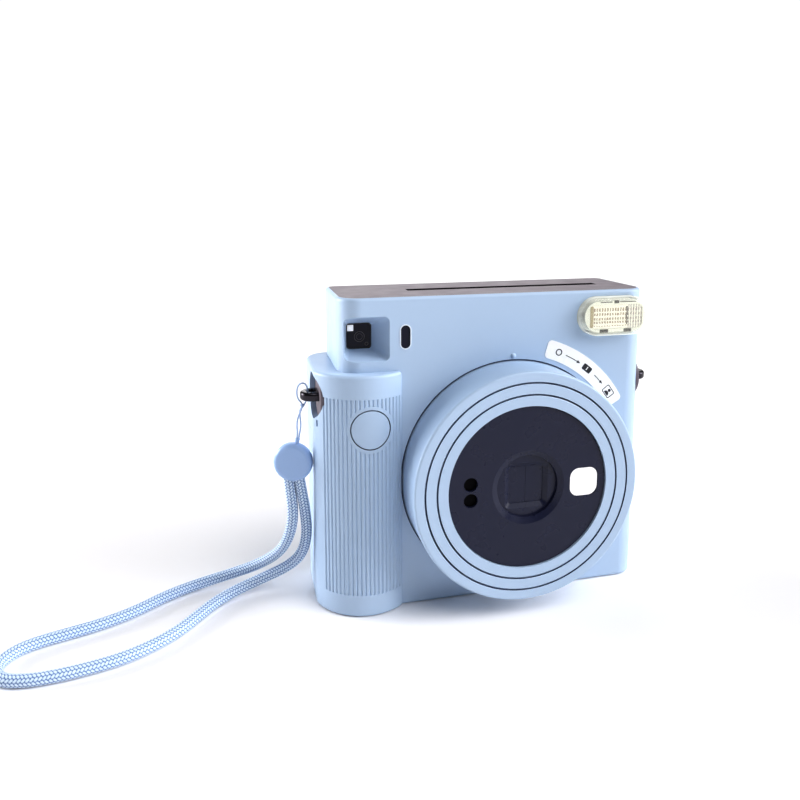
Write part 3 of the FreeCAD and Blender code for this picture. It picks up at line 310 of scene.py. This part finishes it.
def dress_nodes():
    """Every CAD node takes the material of its slot in the record."""
    for part in frame["record"]["subparts"]:
        node = NODES[part["node"]]
        if part["material_slot"] in MATERIALS:
            node.data.materials.clear()
            node.data.materials.append(MATERIALS[part["material_slot"]])
    hole = Shader("sensor_black", (0.0015, 0.0015, 0.003), 0.5, Specular_IOR_Level=0.05)
    hole.tint(0.5, (0.003, 0.002, 0.003), 1 * MM)
    NODES["sensor_windows"].data.materials[0] = hole.material


# ---------------------------------------------------------------- strap

STRAP_DIAMETER = 3.8 * MM
LOOP_DIAMETER = 0.6 * MM
STRAP_ROUTE = [
    (-75.6, 2.2, 50.0), (-74.9, 2.0, 43.0), (-74.2, 1.8, 35.0), (-75.4, 3.1, 26.5), (-78.8, 7.6, 17.4),
    (-86.9, 14.6, 9.3), (-99.0, 19.0, 4.0), (-112.0, 18.0, 1.92), (-123.4, 12.0, 1.92),
    (-132.5, 4.7, 1.92), (-143.0, -0.8, 1.92), (-153.4, -4.0, 1.92), (-163.5, -7.0, 1.92),
    (-170.5, -11.0, 1.92), (-174.0, -18.5, 1.92), (-170.0, -25.5, 1.92), (-162.0, -27.6, 1.92),
    (-152.5, -27.2, 1.92), (-143.0, -25.6, 1.92), (-133.5, -23.0, 1.92), (-125.0, -18.6, 1.92),
    (-117.0, -12.4, 1.92), (-110.4, -4.2, 1.92), (-104.6, 3.4, 1.92), (-96.5, 9.0, 2.6),
    (-86.0, 11.4, 5.0), (-76.4, 9.4, 9.6), (-70.9, 5.4, 16.3), (-69.0, 3.0, 25.5),
    (-69.6, 1.9, 34.5), (-70.8, 1.0, 43.0), (-71.9, 0.9, 50.0)]
LOOP_ROUTE = [
    (-72.2, 1.0, 61.6), (-71.4, 1.0, 66.0), (-70.7, 0.9, 69.6), (-71.0, 0.6, 73.0),
    (-71.2, 0.35, 76.0), (-69.0, 0.3, 78.3), (-67.9, 0.1, 81.0), (-68.2, 0.05, 85.0),
    (-69.6, 0.0, 86.4), (-71.5, 0.0, 85.6), (-72.2, -0.1, 83.0), (-71.8, -0.3, 80.2),
    (-70.1, -0.5, 78.5), (-70.6, -0.5, 76.0), (-71.9, -0.1, 73.2), (-72.3, 0.5, 70.0),
    (-72.0, 0.9, 66.0), (-72.9, 1.2, 61.6)]


def line_of(route, steps):
    """Points along the NURBS spline that has the route as its control points, in metres."""
    data = bpy.data.curves.new("line", "CURVE")
    data.dimensions = "3D"
    spline = data.splines.new("NURBS")
    spline.points.add(len(route) - 1)
    for point, place in zip(spline.points, route):
        point.co = (*(Vector(place) * MM), 1.0)
    spline.order_u = 3
    spline.use_endpoint_u = True
    spline.resolution_u = steps
    holder = bpy.data.objects.new("line", data)
    mesh = bpy.data.meshes.new_from_object(holder)
    points = np.array([v.co[:] for v in mesh.vertices])
    bpy.data.objects.remove(holder)
    bpy.data.meshes.remove(mesh)
    return points


def even_points(points, step):
    """The same line, resampled to equal steps."""
    lengths = np.linalg.norm(np.diff(points, axis=0), axis=1)
    along = np.concatenate(([0.0], np.cumsum(lengths)))
    count = int(round(along[-1] / step)) + 1
    wanted = np.linspace(0.0, along[-1], count)
    return np.stack([np.interp(wanted, along, points[:, k]) for k in range(3)], axis=1), wanted


def side_vectors(points):
    """For each point of a line, two unit vectors across it that don't twist about it."""
    ahead = np.gradient(points, axis=0)
    ahead /= np.linalg.norm(ahead, axis=1)[:, None]
    first = np.zeros_like(points)
    side = np.cross(ahead[0], (0.0, 1.0, 0.0))
    for k, direction in enumerate(ahead):
        side = side - direction * (side @ direction)
        side = side / np.linalg.norm(side)
        first[k] = side
    return first, np.cross(ahead, first)


def tube_mesh(name, points, radii):
    """A closed tube along a line, with a row of radii, one for each vertex round it, for each point."""
    first, second = side_vectors(points)
    rows, around = radii.shape
    angles = np.arange(around) / around * math.tau
    ring = (np.cos(angles)[None, :, None] * first[:, None, :]
            + np.sin(angles)[None, :, None] * second[:, None, :])
    vertices = points[:, None, :] + ring * radii[:, :, None]
    index = np.arange(rows * around).reshape(rows, around)
    ahead = np.roll(index, -1, axis=1)
    sides = np.stack([index[:-1], ahead[:-1], ahead[1:], index[1:]], axis=-1).reshape(-1, 4)
    faces = sides.tolist() + [index[0][::-1].tolist(), index[-1].tolist()]
    mesh = bpy.data.meshes.new(name)
    mesh.from_pydata(vertices.reshape(-1, 3).tolist(), [], faces)
    mesh.polygons.foreach_set("use_smooth", [True] * (len(faces) - 2) + [False, False])
    mesh.update()
    piece = bpy.data.objects.new(name, mesh)
    bpy.context.scene.collection.objects.link(piece)
    return piece


def braid_height(turn, along, yarns, lead):
    """Height, at most 1, of a two-over, two-under braid, at a turn round it and a length along it."""
    one_way = yarns * (turn - along / lead)
    other_way = yarns * (turn + along / lead)
    heights = []
    for across, over, sign in ((one_way, other_way, 1.0), (other_way, one_way, -1.0)):
        strand = np.round(across)
        crown = np.sqrt(np.clip(1.0 - (1.9 * (across - strand)) ** 2, 0.0, 1.0))
        weave = sign * np.sin(math.tau * (over + strand + 0.5) / 4.0)
        heights.append(0.75 * crown + 0.6 * weave - 0.35)
    return np.maximum(*heights)


def attribute_on(mesh, name, values):
    """Stores one number for each vertex, which a material reads by name."""
    layer = mesh.attributes.new(name, "FLOAT", "POINT")
    layer.data.foreach_set("value", np.asarray(values, dtype=np.float32).ravel())


def make_strap():
    """The braided wrist strap: a tube with the braid's relief in its mesh, and dark blue painted shade
    in the gaps between the yarns.
    """
    around, step = 64, 0.22 * MM
    yarns, lead, bump = 10, 12.0 * MM, 0.2 * MM
    points, along = even_points(line_of(STRAP_ROUTE, 12), step)
    turn = np.arange(around) / around
    height = braid_height(turn[None, :], along[:, None], yarns, lead)
    piece = tube_mesh("strap", points, STRAP_DIAMETER / 2 + bump * height)
    attribute_on(piece.data, "relief", height * 0.5 + 0.5)
    shader = Shader("braid", (0.7, 0.81, 0.94), 0.6, Sheen_Weight=0.1, Sheen_Roughness=0.5)
    relief = shader.add("ShaderNodeAttribute", attribute_name="relief").outputs["Fac"]
    shader.tint(0.4, (0.58, 0.73, 0.92), 1.2 * MM)
    # Painted shade: dark blue where the relief is low, in the gaps between the yarns.
    gap = shader.add("ShaderNodeMapRange", interpolation_type="SMOOTHSTEP")
    for socket, value in (("From Min", 0.66), ("From Max", 0.9), ("To Min", 1.0), ("To Max", 0.0)):
        gap.inputs[socket].default_value = value
    shader.link(relief, gap.inputs["Value"])
    shader.mix_in(gap.outputs[0], (0.045, 0.14, 0.4))
    shader.bump(shader.noise(0.08 * MM, 2.0), 0.03 * MM, 0.6)
    piece.data.materials.append(shader.material)
    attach(piece, HOUSING)
    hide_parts("strap_cord")


def make_strap_loop(knot, crimp):
    """The thin three-strand loop between the bead and the left lug."""
    points, along = even_points(line_of(LOOP_ROUTE, 16), 0.12 * MM)
    around, strands, pitch, relief = 18, 3, 2.2 * MM, 0.09
    angles = np.arange(around) / around * math.tau
    wave = np.cos(strands * (angles[None, :] - math.tau * along[:, None] / pitch))
    piece = tube_mesh("strap_loop_twist", points, LOOP_DIAMETER / 2 * (1.0 + relief * wave))
    shader = Shader("loop_thread", (0.4, 0.54, 0.8), 0.55, Sheen_Weight=0.2)
    shader.tint(0.4, (0.5, 0.63, 0.87), 2 * MM)
    shader.bump(shader.noise(0.06 * MM), 0.02 * MM, 0.5)
    piece.data.materials.append(shader.material)
    knot.data.materials.append(shader.material)
    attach(piece, HOUSING)
    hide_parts("strap_loop")


# ---------------------------------------------------------------- flat and bevelled pieces


def circle(centre, radius, count, sweep=360.0):
    """Points of a circle, or of an arc from +X, anticlockwise as seen from the front, in (x, z)."""
    angles = [math.radians(sweep * k / count) for k in range(count)]
    return [(centre[0] + radius * math.cos(a), centre[1] + radius * math.sin(a)) for a in angles]


def rounded(low, high, radius, steps=6):
    """Rounded rectangle between two (x, z) corners, anticlockwise as seen from the front."""
    corners = ((high[0] - radius, high[1] - radius, 0), (low[0] + radius, high[1] - radius, 90),
               (low[0] + radius, low[1] + radius, 180), (high[0] - radius, low[1] + radius, 270))
    outline = []
    for x, z, start in corners:
        for k in range(steps + 1):
            a = math.radians(start + 90 * k / steps)
            outline.append((x + radius * math.cos(a), z + radius * math.sin(a)))
    return outline


def add_piece(name, vertices, faces, material, soften=0.0):
    """A flat-shaded piece of the housing, its edges rounded by soften."""
    mesh = bpy.data.meshes.new(name)
    mesh.from_pydata([tuple(v) for v in vertices], [], faces)
    mesh.polygons.foreach_set("use_smooth", [False] * len(faces))
    mesh.update()
    mesh.materials.append(material)
    piece = bpy.data.objects.new(name, mesh)
    bpy.context.scene.collection.objects.link(piece)
    if soften:
        bevel = piece.modifiers.new("soften", "BEVEL")
        bevel.width = soften
        bevel.segments = 3
        bevel.limit_method = "ANGLE"
        bevel.harden_normals = True
    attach(piece, HOUSING)
    return piece


def slabs(name, outlines, front, back, material, soften=0.0):
    """Closed slabs between two y places, one from each (x, z) outline."""
    vertices, faces = [], []
    for outline in outlines:
        count, base = len(outline), len(vertices)
        vertices += [(x, front, z) for x, z in outline] + [(x, back, z) for x, z in outline]
        faces.append([base + k for k in range(count)])
        faces.append([base + count + k for k in reversed(range(count))])
        for k in range(count):
            ahead = (k + 1) % count
            faces.append([base + k, base + count + k, base + count + ahead, base + ahead])
    return add_piece(name, vertices, faces, material, soften)


def frame_piece(name, outer, inner, front, back, material, soften=0.0):
    """A closed frame between an outer and an inner (x, z) outline with as many points."""
    count = len(outer)
    loops = [[(x, front, z) for x, z in outer], [(x, front, z) for x, z in inner],
             [(x, back, z) for x, z in inner], [(x, back, z) for x, z in outer]]
    vertices = [v for loop in loops for v in loop]
    faces = []
    for k in range(count):
        ahead = (k + 1) % count
        for here in range(4):
            there = (here + 1) % 4
            faces.append([here * count + k, here * count + ahead,
                          there * count + ahead, there * count + k])
    return add_piece(name, vertices, faces, material, soften)


# ---------------------------------------------------------------- flash


# Places on the flash cover, as shares of its width and height: start, end, and for clips bottom and top.
CLIPS = ((0.27, 0.39, 0.03, 0.12), (0.62, 0.73, 0.03, 0.12), (0.47, 0.54, 0.89, 0.97))
SEAMS = ((0.27, 0.44), (0.55, 0.79))
# Rows of marks seen in the flash, painted reflections, as shares of its height: centre and half height.
MARK_ROWS = ((0.76, 0.06), (0.59, 0.045), (0.42, 0.045), (0.29, 0.04), (0.16, 0.015))


def flash_pattern():
    """Cream prisms with a faint painted glow, brown rows of short marks that are painted reflections, a
    greyer right part, and one dark tube seen through them.
    """
    # The emission is a painted glow.
    shader = Shader("flash_pattern", (0.98, 0.965, 0.91), 0.25, Specular_IOR_Level=0.7,
                    Emission_Color=(1.0, 0.97, 0.9, 1.0), Emission_Strength=0.12)
    low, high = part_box("flash_reflector")
    split = shader.add("ShaderNodeSeparateXYZ")
    shader.link(shader.place, split.inputs[0])
    across = shader.math("DIVIDE", shader.math("SUBTRACT", split.outputs["X"], low.x), high.x - low.x)
    up = shader.math("DIVIDE", shader.math("SUBTRACT", split.outputs["Z"], low.z), high.z - low.z)
    wobble = shader.spread(shader.noise(1.2 * MM), -0.012, 0.012)
    ragged = shader.math("ADD", across, shader.math("MULTIPLY", wobble, 0.6))
    stripes = shader.math("SINE", shader.math("MULTIPLY", ragged, 21 * math.tau))
    stripes = shader.math("GREATER_THAN", stripes, -0.1)
    rows = None
    for centre, half in MARK_ROWS:
        gap = shader.math("ABSOLUTE", shader.math("SUBTRACT", shader.math("ADD", up, wobble), centre))
        row = shader.math("LESS_THAN", gap, half)
        rows = row if rows is None else shader.math("ADD", rows, row, clamp=True)
    # Painted reflections: the brown rows of short marks.
    marks = shader.math("MULTIPLY", shader.math("MULTIPLY", rows, stripes), 0.9)
    shader.mix_in(marks, (0.24, 0.13, 0.06))
    right = shader.math("MULTIPLY", shader.math("GREATER_THAN", across, 0.72), stripes)
    shader.mix_in(shader.math("MULTIPLY", right, 0.6), (0.3, 0.28, 0.33))
    tube = shader.math("ABSOLUTE", shader.math("SUBTRACT", shader.math("ADD", across, wobble), 0.7))
    inside = shader.math("LESS_THAN", shader.math("ABSOLUTE", shader.math("SUBTRACT", up, 0.53)), 0.34)
    dark = shader.math("MULTIPLY", shader.math("LESS_THAN", tube, 0.016), inside)
    shader.mix_in(dark, (0.04, 0.025, 0.02))
    return shader.material


def make_flash():
    """What shows through the flash's cover: pale surround, prisms, one side wall, clips and seams."""
    cover_low, cover_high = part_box("flash_cover")
    mouth_low, mouth_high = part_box("flash_reflector")
    wall, rim = 1.45 * MM, 0.55 * MM
    front = mouth_low.y - 0.35 * MM
    outer_low = (cover_low.x + wall, cover_low.z + wall)
    outer_high = (cover_high.x - wall, cover_high.z - wall)
    inner_low = (mouth_low.x + rim, mouth_low.z + rim)
    inner_high = (mouth_high.x - rim, mouth_high.z - rim)
    pale = moulded("flash_pale", (0.97, 0.98, 0.93), (0.94, 0.95, 0.89), roughness=0.25).material
    outer = rounded(outer_low, outer_high, (outer_high[1] - outer_low[1]) / 2 - 0.01 * MM, 12)
    inner = rounded(inner_low, inner_high, 2.2 * MM, 12)
    frame_piece("flash_surround", outer, inner, front, mouth_low.y - 0.05 * MM, pale,
                soften=0.12 * MM)

    beige = moulded("flash_side", (0.5, 0.42, 0.27), (0.42, 0.35, 0.22), roughness=0.3).material
    side = rounded((inner_low[0] - 0.1 * MM, inner_low[1] + 0.6 * MM),
                   (inner_low[0] + 1.3 * MM, inner_high[1] - 0.4 * MM), 0.5 * MM, 4)
    slabs("flash_side_wall", [side], mouth_low.y - 0.5 * MM, mouth_low.y - 0.1 * MM, beige,
          soften=0.15 * MM)

    pitch, tip = 0.62 * MM, 0.3 * MM
    columns = int((inner_high[0] - inner_low[0]) / pitch)
    rows = int((inner_high[1] - inner_low[1]) / pitch)
    step_x = (inner_high[0] - inner_low[0]) / columns
    step_z = (inner_high[1] - inner_low[1]) / rows
    base_y, back_y = mouth_low.y + 0.1 * MM, mouth_low.y + 0.5 * MM
    vertices = [(inner_low[0] + i * step_x, base_y, inner_low[1] + j * step_z)
                for j in range(rows + 1) for i in range(columns + 1)]
    faces = []
    for j in range(rows):
        for i in range(columns):
            corner = j * (columns + 1) + i
            ring = [corner, corner + 1, corner + columns + 2, corner + columns + 1]
            vertices.append((inner_low[0] + (i + 0.5) * step_x, base_y - tip,
                             inner_low[1] + (j + 0.5) * step_z))
            peak = len(vertices) - 1
            faces += [[ring[k], ring[(k + 1) % 4], peak] for k in range(4)]
    border = ([i for i in range(columns + 1)] + [j * (columns + 1) + columns for j in range(1, rows + 1)]
              + [rows * (columns + 1) + i for i in reversed(range(columns))]
              + [j * (columns + 1) for j in reversed(range(1, rows))])
    behind = len(vertices)
    vertices += [(vertices[k][0], back_y, vertices[k][2]) for k in border]
    count = len(border)
    for k in range(count):
        ahead = (k + 1) % count
        faces.append([border[ahead], border[k], behind + k, behind + ahead])
    faces.append([behind + k for k in reversed(range(count))])
    add_piece("flash_prisms", vertices, faces, flash_pattern())

    wide = cover_high.x - cover_low.x
    clips = []
    for start, end, bottom, top in CLIPS:
        x = (cover_low.x + start * wide, cover_low.x + end * wide)
        high = cover_high.z - cover_low.z
        inward = 0.85 * MM if bottom < 0.5 else -0.75 * MM
        z = (cover_low.z + bottom * high + inward, cover_low.z + top * high + inward)
        clips.append(rounded((x[0], z[0]), (x[1], z[1]), 0.2 * MM, 3))
    slabs("flash_clips", clips, front - 0.12 * MM, front + 0.05 * MM, MATERIALS["black_plastic"],
          soften=0.06 * MM)
    seam_z = cover_high.z - 2.05 * MM
    seams = []
    for start, end in SEAMS:
        x = (cover_low.x + start * wide, cover_low.x + end * wide)
        seams.append(rounded((x[0], seam_z), (x[1], seam_z + 0.32 * MM), 0.12 * MM, 3))
    slabs("flash_seams", seams, front - 0.06 * MM, front + 0.05 * MM, MATERIALS["black_plastic"])


# ---------------------------------------------------------------- dial marks


DIAL_RADIUS = 49.2 * MM
# Clock angles, in degrees, of what the arc label shows.
OFF_ANGLE = 22.3
ON_ANGLE = 38.6
PORTRAIT_ANGLE = 54.5
ARROWS = ((26.0, 5.6), (43.6, 3.6))


def on_dial(degrees, points):
    """Places (along, outward) points, in millimetres, on the arc label at that clock angle."""
    a = math.radians(degrees)
    placed = []
    for along, outward in points:
        reach = DIAL_RADIUS + outward * MM
        turn = a + along * MM / DIAL_RADIUS
        placed.append((LENS.x + reach * math.sin(turn), LENS.z + reach * math.cos(turn)))
    return placed[::-1] if signed_area(placed) < 0 else placed


def signed_area(outline):
    """Twice the area inside, above zero where the outline runs anticlockwise."""
    ahead = outline[1:] + outline[:1]
    return sum(a[0] * b[1] - b[0] * a[1] for a, b in zip(outline, ahead))


def arrow(degrees, length):
    """Shaft and head, as two outlines, of an arrow that starts at that angle."""
    shaft, head = 0.14, 0.62
    line = [(length * k / 8, shaft) for k in range(9)]
    back = [(x, -shaft) for x, _ in reversed(line)]
    point = [(length, head), (length, -head), (length + 1.5, 0)]
    return [on_dial(degrees, line + back), on_dial(degrees, point)]


def make_dial_marks():
    """Generic marks on the arc label: open circle, bar in a lozenge, portrait, and arrows between."""
    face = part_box("dial_label")[0].y
    ink = moulded("dial_ink", (0.012, 0.013, 0.02), (0.02, 0.02, 0.03), roughness=0.4).material
    front, back = face - 0.03 * MM, face + 0.02 * MM
    ring_out = on_dial(OFF_ANGLE, circle((0, 0), 1.35, 28))
    ring_in = on_dial(OFF_ANGLE, circle((0, 0), 0.95, 28))
    frame_piece("dial_off_mark", ring_out, ring_in, front, back, ink)
    marks = [outline for degrees, length in ARROWS for outline in arrow(degrees, length)]
    marks.append(on_dial(ON_ANGLE, rounded((-2.1, -1.25), (2.1, 1.25), 0.5, 4)))
    head = on_dial(PORTRAIT_ANGLE, circle((0, 0.75), 0.62, 20))
    shoulders = on_dial(PORTRAIT_ANGLE, circle((0, -1.25), 1.25, 20, 189.0))
    marks += [head, shoulders]
    slabs("dial_marks", marks, front, back, ink)
    bar = on_dial(ON_ANGLE, rounded((-0.2, -0.75), (0.2, 0.75), 0.15, 3))
    slabs("dial_on_bar", [bar], front - 0.02 * MM, back, MATERIALS["label_white"])
    frame_out = on_dial(PORTRAIT_ANGLE, rounded((-2.3, -1.75), (2.3, 1.95), 0.6, 6))
    frame_in = on_dial(PORTRAIT_ANGLE, rounded((-2.0, -1.45), (2.0, 1.65), 0.4, 6))
    frame_piece("dial_portrait_frame", frame_out, frame_in, front, back, ink)


# ---------------------------------------------------------------- viewfinder and slot


def make_viewfinder_front():
    """The viewfinder window's bezel, and in its corner a small glowing square: painted light standing
    for the bright backdrop seen through the eyepiece.
    """
    low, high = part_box("viewfinder_window")
    edge, shown, inset = low.y, 0.45 * MM, 0.55 * MM
    outer, inner = [rounded((low.x + margin, low.z + margin), (high.x - margin, high.z - margin), radius)
                    for margin, radius in ((shown, 1.7 * MM), (shown + inset, 1.3 * MM))]
    frame_piece("viewfinder_bezel", outer, inner, edge - 0.3 * MM, edge + 0.05 * MM,
                MATERIALS["black_plastic"], soften=0.1 * MM)
    # Painted light: the backdrop seen through the eyepiece, as a glowing square.
    light = Shader("painted_eyepiece_light", (0.95, 0.96, 0.98), 0.3, Emission_Color=(1, 1, 1, 1),
                   Emission_Strength=0.35)
    light.tint(0.1, (0.9, 0.93, 0.98), 1 * MM)
    side, left, top = 2.3 * MM, low.x + 1.25 * MM, high.z - 1.35 * MM
    square = rounded((left, top - side), (left + side, top), 0.15 * MM, 3)
    slabs("viewfinder_frame_light", [square], edge - 0.08 * MM, edge + 0.05 * MM, light.material,
          soften=0.03 * MM)


def make_window_rims():
    """Raised lip round the metering window, pale as a painted highlight, and the rings seen behind the
    finder window.
    """
    low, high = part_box("metering_window")
    lip = 0.42 * MM
    radius = (high.x - low.x) / 2 - 0.01 * MM
    inner = rounded((low.x, low.z), (high.x, high.z), radius, 10)
    outer = rounded((low.x - lip, low.z - lip), (high.x + lip, high.z + lip), radius + lip, 10)
    # Painted highlight: the lip's pale colour stands for light caught on its edge.
    pale = moulded("metering_rim_highlight", (0.78, 0.84, 0.93), (0.72, 0.8, 0.9), roughness=0.25).material
    frame_piece("metering_rim_highlight", outer, inner, FRONT_PLANE - 0.14 * MM, FRONT_PLANE + 0.05 * MM, pale,
                soften=0.1 * MM)
    low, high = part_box("viewfinder_window")
    middle = ((low.x + high.x) / 2 + 0.3 * MM, (low.z + high.z) / 2 - 0.4 * MM)
    grey = moulded("finder_ring", (0.09, 0.08, 0.09), (0.06, 0.055, 0.07), roughness=0.3).material
    corner = (high.x - 2.5 * MM, low.z + 2.3 * MM)
    rings = (("finder_ring", middle, 2.0, 0.22), ("finder_lens_ring", middle, 1.2, 0.16),
             ("finder_cell_ring", corner, 0.7, 0.2))
    for name, where, radius, width in rings:
        frame_piece(name, circle(where, radius * MM, 32), circle(where, (radius - width) * MM, 32),
                    low.y - 0.05 * MM, low.y + 0.03 * MM, grey, soften=0.02 * MM)


def make_slot_lips():
    """Two felt lips that keep light out of the film slot."""
    middle, centre = slot_centre()
    under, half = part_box("top_cover")[0].z, 40.5 * MM
    felt = Shader("slot_felt", (0.003, 0.003, 0.005), 0.95, Specular_IOR_Level=0.1)
    felt.tint(0.5, (0.006, 0.006, 0.009), 0.5 * MM)
    felt.bump(felt.noise(0.12 * MM), 0.05 * MM)
    for name, side in (("slot_lip_front", -1), ("slot_lip_rear", 1)):
        places = (centre + side * 0.04 * MM, centre + side * 3.2 * MM)
        outline = rounded((middle - half, under - 1.3 * MM), (middle + half, under - 0.1 * MM),
                          0.3 * MM, 3)
        slabs(name, [outline], min(places), max(places), felt.material, soften=0.15 * MM)


# ---------------------------------------------------------------- thin loop's knot and crimp


def make_knot():
    """A small tied knot under the lug: a trefoil of the same thread."""
    data = bpy.data.curves.new("loop_knot", "CURVE")
    data.dimensions = "3D"
    data.bevel_depth = LOOP_DIAMETER / 2
    data.bevel_resolution = 4
    spline = data.splines.new("NURBS")
    count, centre, size = 36, Vector((-70.1, -0.1, 77.6)) * MM, 0.36 * MM
    spline.points.add(count - 1)
    for k, point in enumerate(spline.points):
        t = math.tau * k / count
        offset = Vector((math.sin(t) + 2 * math.sin(2 * t), -math.sin(3 * t),
                         math.cos(t) - 2 * math.cos(2 * t)))
        point.co = (*(centre + offset * size * 0.55), 1.0)
    spline.use_cyclic_u = True
    spline.order_u = 3
    holder = bpy.data.objects.new("loop_knot_line", data)
    mesh = bpy.data.meshes.new_from_object(holder)
    bpy.data.objects.remove(holder)
    knot = bpy.data.objects.new("loop_knot", mesh)
    bpy.context.scene.collection.objects.link(knot)
    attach(knot, HOUSING)
    return knot


def make_crimp():
    """The sleeve that holds the loop's two ends where they enter the bead."""
    start, end = Vector((-72.45, 1.12, 62.3)) * MM, Vector((-72.0, 1.0, 65.2)) * MM
    count, around, radius = 15, 24, 0.82 * MM
    points = np.array([start.lerp(end, k / (count - 1))[:] for k in range(count)])
    along = np.linspace(0.0, 1.0, count)
    groove = 1.0 - 0.16 * np.cos(along * math.tau * 2) * (along > 0.5)
    profile = radius * groove * (1.0 - 0.45 * along ** 12)
    piece = tube_mesh("loop_crimp", points, np.repeat(profile[:, None], around, axis=1))
    piece.data.materials.append(MATERIALS["tag_blue"])
    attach(piece, HOUSING)
    return piece


# ---------------------------------------------------------------- shutter button's spring


def make_button_spring():
    """A coil spring with flat end turns."""
    low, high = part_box("button_spring")
    centre, reach = (low + high) / 2, high.y - low.y
    wire, turns, steps, around = 0.25 * MM, 7, 36, 12
    coil = (high.x - low.x) / 2 - wire
    share = np.linspace(0.0, 1.0, turns * steps + 1)
    rise = np.clip((share * turns - 1.0) / (turns - 2.0), 0.0, 1.0)
    angle = share * turns * math.tau
    points = np.stack([centre.x + coil * np.cos(angle), low.y + wire + (reach - 2 * wire) * rise,
                       centre.z + coil * np.sin(angle)], axis=1)
    piece = tube_mesh("spring_wire", points, np.full((len(points), around), wire))
    piece.data.materials.append(MATERIALS["steel"])
    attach(piece, HOUSING)
    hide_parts("button_spring")
    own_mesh(piece)


# ---------------------------------------------------------------- stage


FLOOR_HALF = 4.0
FLOOR_LEVEL = -0.15 * MM

# Soft lights of the tent: direction towards each, cosines where its edge starts and ends, strength.
TENT_LIGHTS = [
    ((1.0, -0.36, 0.35), (0.93, 0.99), 10.6),
    ((-1.0, 0.48, 0.18), (0.9, 0.99), 15.5),
    ((0.7, -0.7, 1.2), (0.85, 0.99), 3.8),
    ((0.1, -0.35, 1.2), (0.9, 0.99), 1.8),
    ((0.2, 1.0, 0.25), (0.88, 0.99), 2.1),
    ((0.0, 1.0, 0.3), (0.3, 0.95), 0.25)]
AMBIENT = 0.01
BACKDROP = 1.05
PICTURE_GAMMA = 0.825


def make_floor():
    """A plain white floor, a hair below the base so that the two never share a plane."""
    corners = [(x * FLOOR_HALF, y * FLOOR_HALF, FLOOR_LEVEL)
               for x, y in ((-1, -1), (1, -1), (1, 1), (-1, 1))]
    mesh = bpy.data.meshes.new("floor")
    mesh.from_pydata(corners, [], [(0, 1, 2, 3)])
    floor = bpy.data.objects.new("floor", mesh)
    bpy.context.scene.collection.objects.link(floor)
    shader = Shader("floor_white", (0.93, 0.915, 0.925), 0.6)
    shader.tint(0.2, (0.95, 0.93, 0.95), 300 * MM)
    mesh.materials.append(shader.material)


def make_world():
    """A tent lit by a few soft patches of sky, and a plain white backdrop where the camera sees past."""
    world = bpy.data.worlds.new("tent")
    bpy.context.scene.world = world
    world.use_nodes = True
    nodes = world.node_tree.nodes
    links = world.node_tree.links
    toward = nodes.new("ShaderNodeTexCoord").outputs["Generated"]
    total = nodes.new("ShaderNodeValue").outputs[0]
    total.default_value = AMBIENT
    for direction, (start, end), strength in TENT_LIGHTS:
        facing = nodes.new("ShaderNodeVectorMath")
        facing.operation = "DOT_PRODUCT"
        links.new(toward, facing.inputs[0])
        facing.inputs[1].default_value = Vector(direction).normalized()
        patch = nodes.new("ShaderNodeMapRange")
        patch.interpolation_type = "SMOOTHSTEP"
        patch.inputs["From Min"].default_value = start
        patch.inputs["From Max"].default_value = end
        patch.inputs["To Max"].default_value = strength
        links.new(facing.outputs["Value"], patch.inputs["Value"])
        add = nodes.new("ShaderNodeMath")
        add.operation = "ADD"
        links.new(total, add.inputs[0])
        links.new(patch.outputs[0], add.inputs[1])
        total = add.outputs[0]
    seen = nodes.new("ShaderNodeMix")
    links.new(nodes.new("ShaderNodeLightPath").outputs["Is Camera Ray"], seen.inputs["Factor"])
    links.new(total, seen.inputs["A"])
    seen.inputs["B"].default_value = BACKDROP
    background = nodes["Background"]
    background.inputs["Color"].default_value = (1.0, 1.0, 1.0, 1.0)
    links.new(seen.outputs["Result"], background.inputs["Strength"])
    bpy.context.scene.view_settings.view_transform = "Standard"
    bpy.context.scene.view_settings.gamma = PICTURE_GAMMA


make_camera()
make_strap()
make_strap_loop(make_knot(), make_crimp())
dress_nodes()
make_flash()
make_dial_marks()
make_viewfinder_front()
make_window_rims()
make_slot_lips()
make_button_spring()
make_floor()
make_world()
